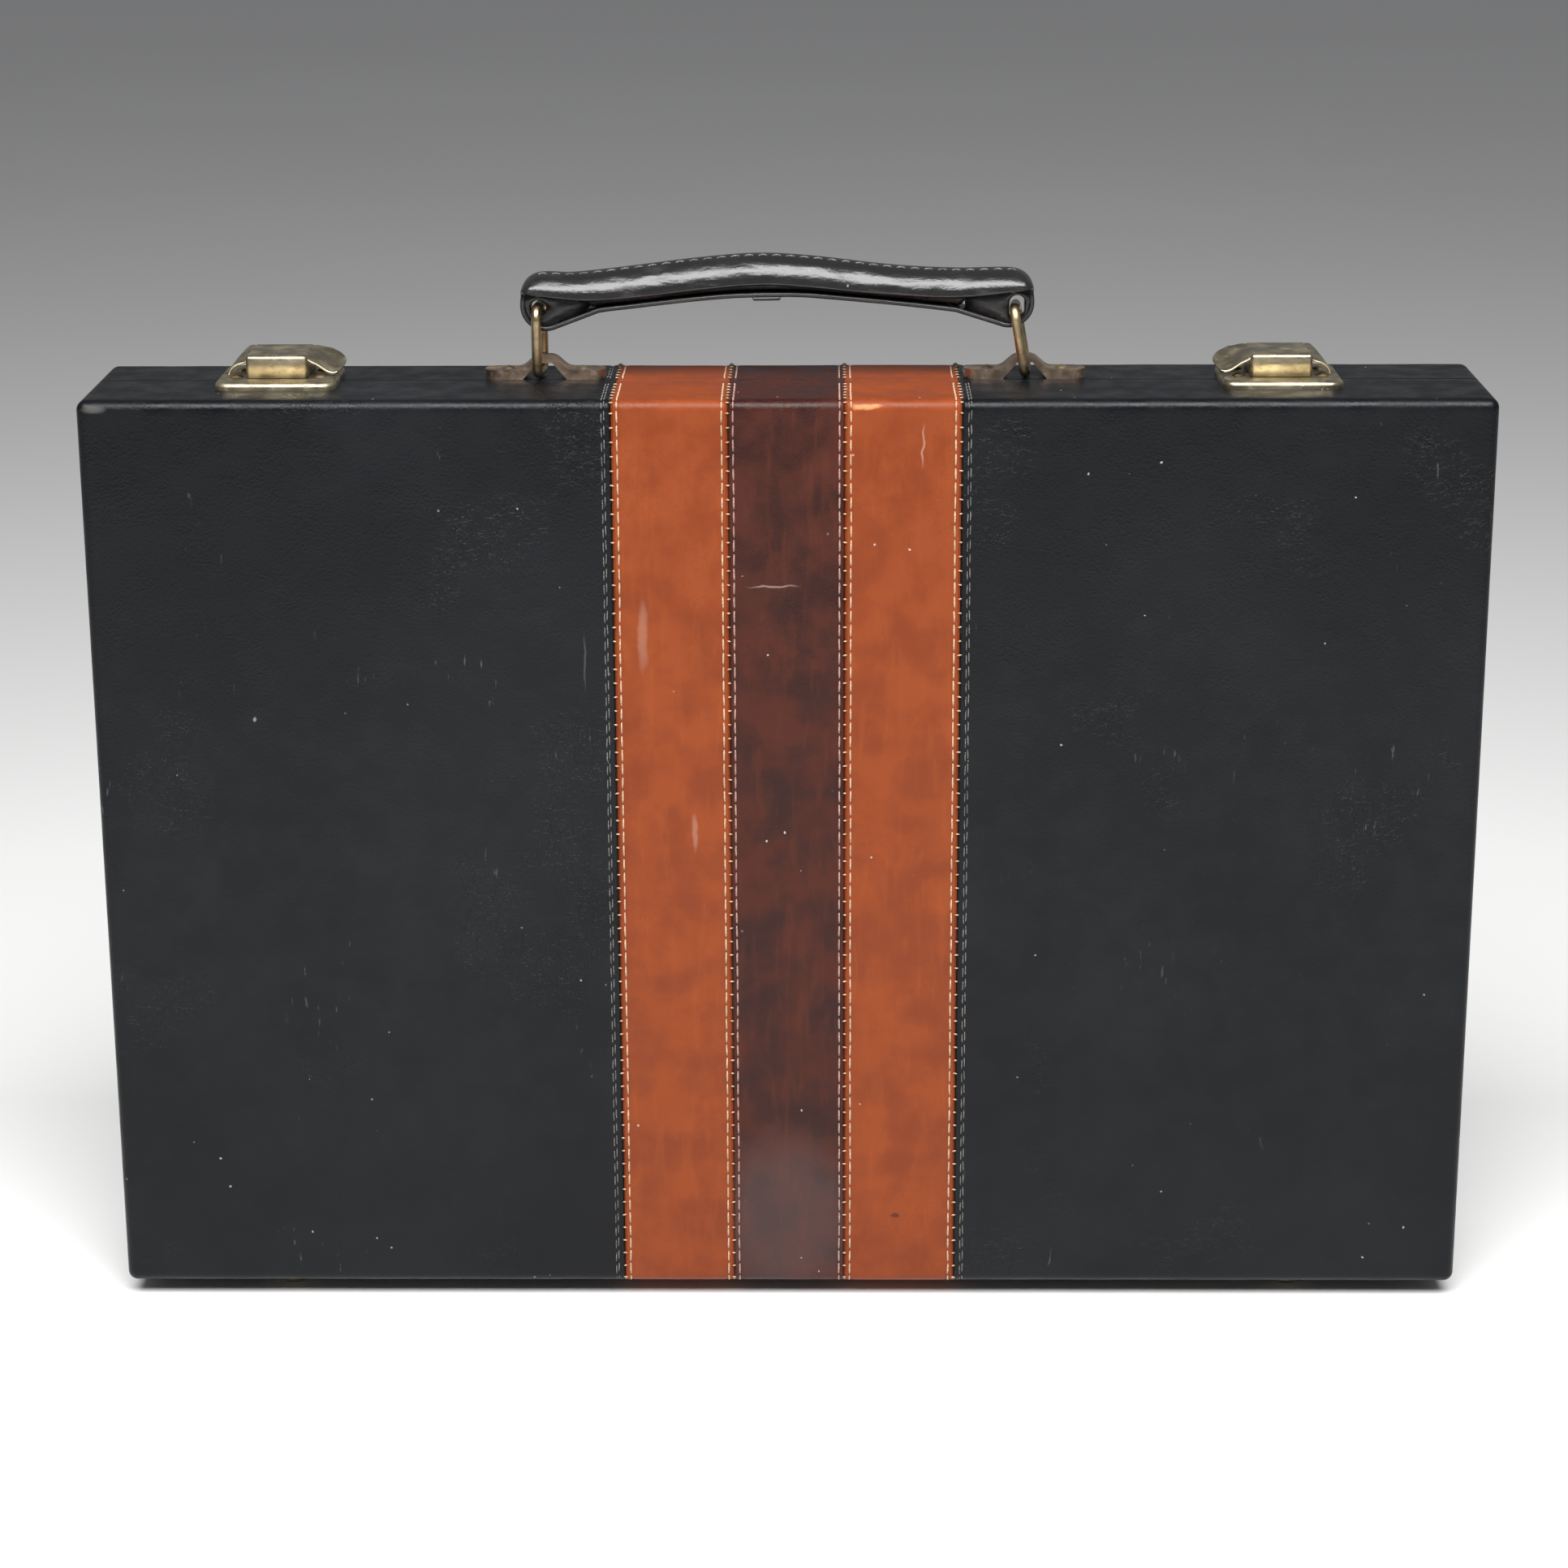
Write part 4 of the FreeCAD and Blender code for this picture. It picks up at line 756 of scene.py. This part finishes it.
def end_curve(x, power):
    """1 along the handle, falling to 0 at its ends."""
    beyond = (abs(x) - END_START) / (GRIP_HALF - END_START)
    if beyond <= 0:
        return 1.0
    return max(1 - min(beyond, 1.0) ** power, 0.0) ** (1 / power)


def crown_height(x, y):
    """Height of the grip's skin at x along it and y across it, above its lip."""
    fall = end_curve(x, 2.3)
    top = END_HEIGHT + (through(GRIP_TOP, x) - END_HEIGHT) * fall
    shoulder = min(through(GRIP_LIP, x), top - 0.5) + 1.5 * fall
    wide = GRIP_WIDE * max(end_curve(x, 4.0), 0.35)
    sine = min(abs(y) / wide, 1.0) ** (1 / 0.95)
    return shoulder + (top - shoulder) * (1 - sine**2) ** 0.58


def grip_section(x):
    """The half outline of the grip at x, from its crown to the middle of its underside."""
    fall = end_curve(x, 2.3)
    top = END_HEIGHT + (through(GRIP_TOP, x) - END_HEIGHT) * fall
    lip = min(through(GRIP_LIP, x), top - 0.5)
    under = min(GRIP_ROOF if abs(x) > NECK_X else through(STRAP_TOP, x) + 0.15, lip - 0.3)
    wide = GRIP_WIDE * max(end_curve(x, 4.0), 0.35)
    wobble = 0.28 * noise.noise(Vector((x * 0.11, 2.0, 0.3)))
    shoulder = lip + 1.5 * fall
    outline = []
    for step in range(13):
        angle = QUARTER_TURN * step / 12
        y = wide * math.sin(angle) ** 0.95
        z = shoulder + (top - shoulder) * max(math.cos(angle), 0.0) ** 1.16
        dent = 0.22 * noise.noise(Vector((x * 0.13, y * 0.4, z * 0.3))) * math.sin(2 * angle)
        outline.append((y + dent + wobble * math.sin(angle) * 0.4, z))
    inset = min(RECESS_WIDE, wide - 1.0)
    outline += [
        (wide + 0.16, lip + 0.8),
        (wide + 0.10, lip + 0.25),
        (wide - 0.45, lip - 0.05),
        (wide - 1.25, lip + 0.15),
        (inset + 0.5, lip + 0.1),
        (inset, lip - 0.5),
        (inset - 0.1, under),
        (0.0, under),
    ]
    return outline


def grip():
    xs = [-GRIP_HALF + 0.06]
    xs += [-GRIP_HALF + c for c in (0.3, 0.8, 1.5, 2.4, 3.4, 4.6, 6.0, 7.5)]
    xs += spread(-GRIP_HALF + 9, GRIP_HALF - 9, 1.5)
    xs += [-x for x in reversed(xs[:9])]
    points, faces = [], []
    for x in xs:
        outline = grip_section(x)
        ring = [(y, z) for y, z in outline] + [(-y, z) for y, z in reversed(outline[1:-1])]
        points += [HANDLE_PLACE @ Vector((x, y, z)) for y, z in ring]
    around = len(points) // len(xs)
    for row in range(len(xs) - 1):
        for step in range(around):
            a, b = row * around + step, row * around + (step + 1) % around
            faces.append((a, b, b + around, a + around))
    faces.append(tuple(range(around - 1, -1, -1)))
    faces.append(tuple(range(len(points) - around, len(points))))
    made = mesh_piece("grip_wrap", points, faces, "handle", "handle_leather")
    made.modifiers.new("soft", "SUBSURF").render_levels = 1
    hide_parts("handle_grip")


def strap_line():
    """The strap's middle line in the handle's frame, with its width at each point."""
    middle = LOOP_RADIUS - STRAP_THICK / 2
    right = [(x, through(STRAP_TOP, x) - STRAP_THICK / 2, 14.0) for x in spread(0.0, 57.0, 2.0)]
    start, end = math.radians(-113.8), 0.0
    for step in range(13):
        angle = start + (end - start) * step / 12
        wide = 9.2 - 0.6 * math.sin(math.pi * step / 12)
        right.append((LOOP_X + middle * math.cos(angle), LOOP_Z + middle * math.sin(angle), wide))
    for rise, wide in ((1.5, 9.0), (3.0, 10.2), (4.5, 12.0), (5.6, 13.4)):
        right.append((LOOP_X + middle - 0.03 * rise**2, LOOP_Z + rise, wide))
    left = [(-x, through(STRAP_TOP, -x) - STRAP_THICK / 2 if x < 57.5 else z, w) for x, z, w in right]
    return left[:0:-1] + right


def strap():
    """The strap with rounded edges, narrower where it loops through the rings."""
    line = strap_line()
    points, faces = [], []
    half = STRAP_THICK / 2
    for number, (x, z, wide) in enumerate(line):
        before, after = line[max(number - 1, 0)], line[min(number + 1, len(line) - 1)]
        ahead = Vector((after[0] - before[0], 0, after[1] - before[1])).normalized()
        up = Vector((-ahead.z, 0, ahead.x))
        edge = wide / 2
        outline = [
            (edge - 0.5, half), (edge - 0.15, half - 0.15), (edge, half - 0.5), (edge, 0.5 - half),
            (edge - 0.15, 0.15 - half), (edge - 0.5, -half), (0, -half - 0.05), (0.5 - edge, -half),
            (0.15 - edge, 0.15 - half), (-edge, 0.5 - half), (-edge, half - 0.5),
            (0.15 - edge, half - 0.15), (0.5 - edge, half), (0, half + 0.05),
        ]
        ripple = 0.12 * noise.noise(Vector((x * 0.12, z * 0.12, 9.0)))
        for y, lift in outline:
            spot = Vector((x, y + ripple, z)) + up * lift
            points.append(HANDLE_PLACE @ spot)
    around = 14
    for row in range(len(line) - 1):
        for step in range(around):
            a, b = row * around + step, row * around + (step + 1) % around
            faces.append((a, b, b + around, a + around))
    faces.append(tuple(range(around - 1, -1, -1)))
    faces.append(tuple(range(len(points) - around, len(points))))
    made = mesh_piece("strap_band", points, faces, "handle", "strap_leather", merge=0.001)
    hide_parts("handle_strap")


def strap_fold(name, bar, travel):
    """The folded leather that fills a loop of the strap, with a slot for the ring's bar."""
    eye = HANDLE_PLACE.inverted() @ bar
    eye.y = 0.0
    side = math.copysign(1.0, eye.x)

    def inside(x, z):
        along = x * side
        in_loop = math.hypot(along - LOOP_X, z - LOOP_Z) < LOOP_RADIUS - STRAP_THICK + 0.1
        in_neck = NECK_X < along < LOOP_X and z > through(STRAP_TOP, x) - 0.2
        over_loop = LOOP_X <= along < LOOP_X + LOOP_RADIUS - 0.6 and z >= LOOP_Z
        return z < FOLD_TOP and (in_loop or in_neck or over_loop)

    around = 72
    profile = ((0, -3.7), (0.25, -4.1), (1, -4.0), (1, 4.0), (0.25, 4.1), (0, 3.7))
    rows = [[] for _ in profile]
    for number in range(around):
        angle = 2 * math.pi * number / around
        ahead = Vector((math.cos(angle), 0.0, math.sin(angle)))
        if EYE_RADIUS * abs(ahead.z) <= travel * abs(ahead.x):
            eye_reach = EYE_RADIUS / abs(ahead.x)
        else:
            eye_reach = travel * abs(ahead.z) + math.sqrt(EYE_RADIUS**2 - (travel * ahead.x) ** 2)
        reach = eye_reach
        while inside(*(eye + ahead * (reach + 0.1)).xz) and reach < 3 * LOOP_RADIUS:
            reach += 0.1
        reach = max(reach, eye_reach + 0.3)
        for row, (share, y) in enumerate(profile):
            spot = eye + ahead * (eye_reach + (reach - eye_reach) * share)
            crease = 0.1 * noise.noise(Vector((spot.x * 0.3, y, spot.z * 0.3)))
            rows[row].append(HANDLE_PLACE @ Vector((spot.x, y + crease, spot.z)))
    points = [spot for row in rows for spot in row]
    faces = []
    for row in range(len(profile)):
        here, after = row * around, (row + 1) % len(profile) * around
        for number in range(around):
            ahead = (number + 1) % around
            faces.append((here + number, here + ahead, after + ahead, after + number))
    made = mesh_piece(name, points, faces, "handle", "strap_leather")
    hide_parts("handle_strap")


def strap_tab():
    """The end of the wrap that laps over the strap's middle, underneath."""
    points, faces = [], []
    rows = [(-7.7, 0.6), (-7.3, 0.95), (-4.0, 1.0), (0.8, 0.95), (1.2, 0.6)]
    for x, drop in rows:
        bottom = through(STRAP_TOP, x) - STRAP_THICK
        for y in (-7.2, -6.9, 0.0, 6.9, 7.2):
            points.append(HANDLE_PLACE @ Vector((x, y, bottom - drop + (0.3 if abs(y) > 7 else 0))))
        for y in (7.2, 6.9, 0.0, -6.9, -7.2):
            points.append(HANDLE_PLACE @ Vector((x, y, bottom + 0.1)))
    for row in range(len(rows) - 1):
        for step in range(10):
            a, b = row * 10 + step, row * 10 + (step + 1) % 10
            faces.append((a, b, b + 10, a + 10))
    faces.append(tuple(range(9, -1, -1)))
    faces.append(tuple(range(40, 50)))
    mesh_piece("strap_tab", points, faces, "handle", "strap_leather")


def handle_threads():
    """Topstitches along the crown, thread ends at the right, and a loose thread below."""
    stitches, ends = Threads(), Threads()
    for number in range(-17, 18):
        x = number * 4.4
        line = [
            HANDLE_PLACE @ Vector((x + t * 3.2, -2.6 + 0.2 * t, crown_height(x + t * 3.2, 2.6) + lift))
            for t, lift in ((-0.5, -0.3), (-0.3, 0.05), (0.0, 0.18), (0.3, 0.05), (0.5, -0.3))
        ]
        stitches.tube(line, (0.14, 0.26, 0.3, 0.26, 0.14))
    for x, y, z in ((-58.0, -5.5, 22.8), (58.5, -5.5, 22.4)):
        line = [HANDLE_PLACE @ Vector((x + t, y, z + 0.6 * t)) for t in (-0.8, 0.0, 0.9)]
        ends.tube(line, (0.3, 0.55, 0.3))
    line = [
        HANDLE_PLACE @ Vector((46.5 + 12.5 * t, -6.0 + 2.0 * t, 25.2 - 1.6 * t + 1.4 * math.sin(5 * t)))
        for t in [step / 16 for step in range(17)]
    ]
    ends.tube(line, [0.16] * 17)
    stitches.finish("grip_stitches", "handle", "handle_leather", grey_thread)
    ends.finish("grip_thread_ends", "handle", "handle_leather", black_thread)


grip()
strap()
ring_left_low, ring_left_high = box_mm("ring_left")
left_bar = Vector(((ring_left_low.x + ring_left_high.x) / 2, 0.0, ring_left_high.z - RING_WIRE / 2))
strap_fold("strap_fold_left", left_bar, 0.0)
ring_right_low, ring_right_high = box_mm("ring_right")
right_bar = Vector((ring_right_low.x + RING_WIRE / 2 + RIGHT_DRIFT, 0.0, ring_right_high.z - RING_WIRE / 2))
strap_fold("strap_fold_right", right_bar, RIGHT_TRAVEL)
strap_tab()
handle_threads()


# ---------------------------------------------------------------- hasps of formed sheet

SHEET = 0.8
HASP_HALF = 9.75
PARTING = (lid_high.y + base_low.y) / 2


def hasp_wings(inner):
    """Rows of points from the outer wing's rim over the channel to the finger tab, front to back."""
    rows = (
        (-6.6,
         ((-16.3, 2.6), (-16.2, 4.2), (-14.5, 6.1), (-12.5, 6.9), (-10.2, 7.2), (-9.3, 9.5), (0, 9.66)),
         ((9.3, 9.5), (10.2, 7.4), (12.3, 6.9), (14.2, 5.4), (16.4, 4.0), (17.8, 3.9), (18.8, 4.3))),
        (-2.5,
         ((-15.8, 4.0), (-15.2, 5.6), (-13.7, 7.0), (-12.0, 7.8), (-10.4, 8.3), (-9.3, 9.6), (0, 9.68)),
         ((9.3, 9.6), (10.4, 8.3), (12.6, 7.5), (15.0, 5.8), (17.4, 4.7), (19.0, 4.9), (20.2, 5.4))),
        (2.5, ((-14.7, 5.9), (-14.0, 7.1), (-12.8, 8.0), (-11.6, 8.6), (-10.3, 9.0), (-9.3, 9.65), (0, 9.7)),
         ((9.3, 9.65), (10.6, 8.9), (13.0, 8.0), (15.6, 6.6), (17.8, 5.9), (19.6, 6.1), (20.8, 6.5))),
        (8.0, ((-13.0, 8.1), (-12.4, 8.7), (-11.8, 9.1), (-11.0, 9.35), (-10.1, 9.5), (-9.3, 9.7), (0, 9.7)),
         ((9.3, 9.7), (10.5, 9.4), (12.4, 8.8), (14.6, 8.0), (16.6, 7.5), (18.0, 7.5), (18.9, 7.7))),
        (12.0, ((-11.6, 9.3), (-11.2, 9.5), (-10.9, 9.6), (-10.4, 9.65), (-9.9, 9.7), (-9.2, 9.7), (0, 9.7)),
         ((9.3, 9.7), (10.3, 9.6), (11.6, 9.4), (12.8, 9.1), (13.8, 8.9), (14.4, 8.85), (14.8, 8.85))),
    )
    knots = [[list(left) + list(right), y] for y, left, right in rows]
    made = []
    for step in range(21):
        y = -6.6 + 18.6 * step / 20
        outline = []
        for column in range(len(knots[0][0])):
            x = through([(k[1], k[0][column][0]) for k in knots], y)
            z = through([(k[1], k[0][column][1]) for k in knots], y)
            ledge = 0.35 if abs(x) < HASP_HALF else 0.0
            outline.append((inner * x, z - ledge))
        made.append((y, outline))
    return made


def hasp(side, inner):
    node = f"latch_{side}_hasp"
    low, high = box_mm(f"latch_{side}_pin")
    middle = (low.x + high.x) / 2
    base = Vector((middle, PARTING, CASE_TOP))
    points, faces = [], []
    rows = hasp_wings(inner)
    for y, outline in rows:
        points += [base + Vector((x, y, z)) for x, z in outline]
    faces += grid_faces(0, len(rows), len(rows[0][1]), turned=inner < 0)
    wings = mesh_piece(f"{node}_wings", points, faces, f"hasp_{side}", "latch_brass")
    thick = wings.modifiers.new("sheet", "SOLIDIFY")
    thick.thickness = SHEET * MM
    thick.offset = -1.0
    soft = wings.modifiers.new("soft", "SUBSURF")
    soft.levels = soft.render_levels = 1
    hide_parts(node)

    front, back, bottom, top = -9.6, 11.6, 2.65, 9.7
    points = [
        base + Vector((x, y, z))
        for z in (bottom, top)
        for x, y in ((-HASP_HALF, back), (-HASP_HALF, front), (HASP_HALF, front), (HASP_HALF, back))
    ]
    faces = [(0, 4, 5, 1), (1, 5, 6, 2), (2, 6, 7, 3), (7, 6, 5, 4)]
    nose = mesh_piece(f"{node}_channel", points, faces, f"hasp_{side}", "latch_brass", merge=0.001)
    folds = nose.modifiers.new("folds", "BEVEL")
    folds.width = 1.15 * MM
    folds.segments = 4
    folds.limit_method = "ANGLE"
    thick = nose.modifiers.new("sheet", "SOLIDIFY")
    thick.thickness = SHEET * MM
    thick.offset = -1.0
    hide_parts(node)


hasp("left", 1)
hasp("right", -1)


# ---------------------------------------------------------------- pad in the lid


TACKS_APART_X, TACKS_APART_Z = 69.9, 69.4


def lid_cushion():
    """Felt over foam: crowned between its edges, tacked in rows, with a corded seam round it."""
    low, high = box_mm("lid_pad")
    xs = spread(low.x, high.x, 5.0, (low.x, high.x), 8.0, 1.2)
    zs = spread(low.z, high.z, 5.0, (low.z, high.z), 8.0, 1.2)
    points, faces = [], []
    for back in (True, False):
        first = len(points)
        for z in zs:
            for x in xs:
                edge = min(x - low.x, high.x - x, z - low.z, high.z - z)
                crown = 1 - math.exp(-edge / 3.2)
                across_tack = math.cos(math.pi * (x - low.x) / TACKS_APART_X) ** 2
                tuck = across_tack * math.cos(math.pi * (z - low.z) / TACKS_APART_Z) ** 2
                thick = (high.y - low.y) * (0.42 + 0.56 * crown - 0.30 * tuck**12 * crown)
                thick += 0.1 * noise.noise(Vector((x * 0.05, 0.0, z * 0.05)))
                y = low.y + (0.0 if back else min(thick, high.y - low.y))
                points.append(Vector((x, y, z)))
        faces += grid_faces(first, len(zs), len(xs), turned=not back)
    across, tall = len(xs), len(zs)
    behind = across * tall
    rim = list(range(across))
    rim += [row * across + across - 1 for row in range(1, tall)]
    rim += [(tall - 1) * across + column for column in range(across - 2, -1, -1)]
    rim += [row * across for row in range(tall - 2, 0, -1)]
    for number, a in enumerate(rim):
        b = rim[(number + 1) % len(rim)]
        faces.append((b, a, a + behind, b + behind))
    made = mesh_piece("lid_cushion", points, faces, "lid", "pad", merge=0.001)
    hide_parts("lid_pad")
    cord = Threads()
    inset = 0.9
    corners = [
        Vector((low.x + inset, low.y + 2.4, low.z + inset)),
        Vector((high.x - inset, low.y + 2.4, low.z + inset)),
        Vector((high.x - inset, low.y + 2.4, high.z - inset)),
        Vector((low.x + inset, low.y + 2.4, high.z - inset)),
    ]
    for number, start in enumerate(corners):
        end = corners[(number + 1) % 4]
        cord.tube([start.lerp(end, t / 8) for t in range(9)], [0.85] * 9, 8)
    cord.finish("lid_cushion_piping", "lid", "pad", finish["pad"])


lid_cushion()


# ---------------------------------------------------------------- floor, light and camera

LENS, SENSOR = 84.41, 36.0
VIEW_PLACE = (0.01227, -1.1621, 0.52713)
VIEW_YAW, VIEW_PITCH_DOWN, VIEW_ROLL = 0.679, 17.048, -0.223


def floor():
    surface = Surface("studio_floor", roughness=0.5, specular=0.3)
    surface.set("Base Color", surface.blend(surface.noise(900.0), (0.80, 0.79, 0.78), (0.86, 0.855, 0.85)))
    bpy.ops.mesh.primitive_plane_add(size=14.0)
    ground = bpy.context.object
    ground.name = "studio_floor"
    ground.data.materials.append(surface.material)


def area_light(name, place, aim, size, power, colour=(1.0, 1.0, 1.0)):
    light = bpy.data.lights.new(name, "AREA")
    light.shape = "RECTANGLE"
    light.size, light.size_y = size
    light.energy = power
    light.color = colour
    lamp = bpy.data.objects.new(name, light)
    lamp.location = place
    lamp.rotation_euler = (Vector(aim) - Vector(place)).to_track_quat("-Z", "Y").to_euler()
    scene.collection.objects.link(lamp)


def camera():
    lens = bpy.data.cameras.new("camera")
    lens.lens = LENS
    lens.sensor_width = SENSOR
    view = bpy.data.objects.new("camera", lens)
    view.matrix_world = (
        Matrix.Translation(VIEW_PLACE)
        @ Matrix.Rotation(math.radians(VIEW_YAW), 4, "Z")
        @ Matrix.Rotation(math.radians(90 - VIEW_PITCH_DOWN), 4, "X")
        @ Matrix.Rotation(math.radians(VIEW_ROLL), 4, "Z")
    )
    scene.collection.objects.link(view)
    scene.camera = view


floor()
area_light("overhead", (0.0, -0.85, 1.4), (0.0, -0.3, 0.1), (1.8, 0.9), 62.0)
scene.view_settings.view_transform = "Standard"
world = bpy.data.worlds.new("studio")
scene.world = world
world.use_nodes = True
world.node_tree.nodes["Background"].inputs["Color"].default_value = (0.62, 0.63, 0.65, 1.0)
world.node_tree.nodes["Background"].inputs["Strength"].default_value = 0.3
camera()
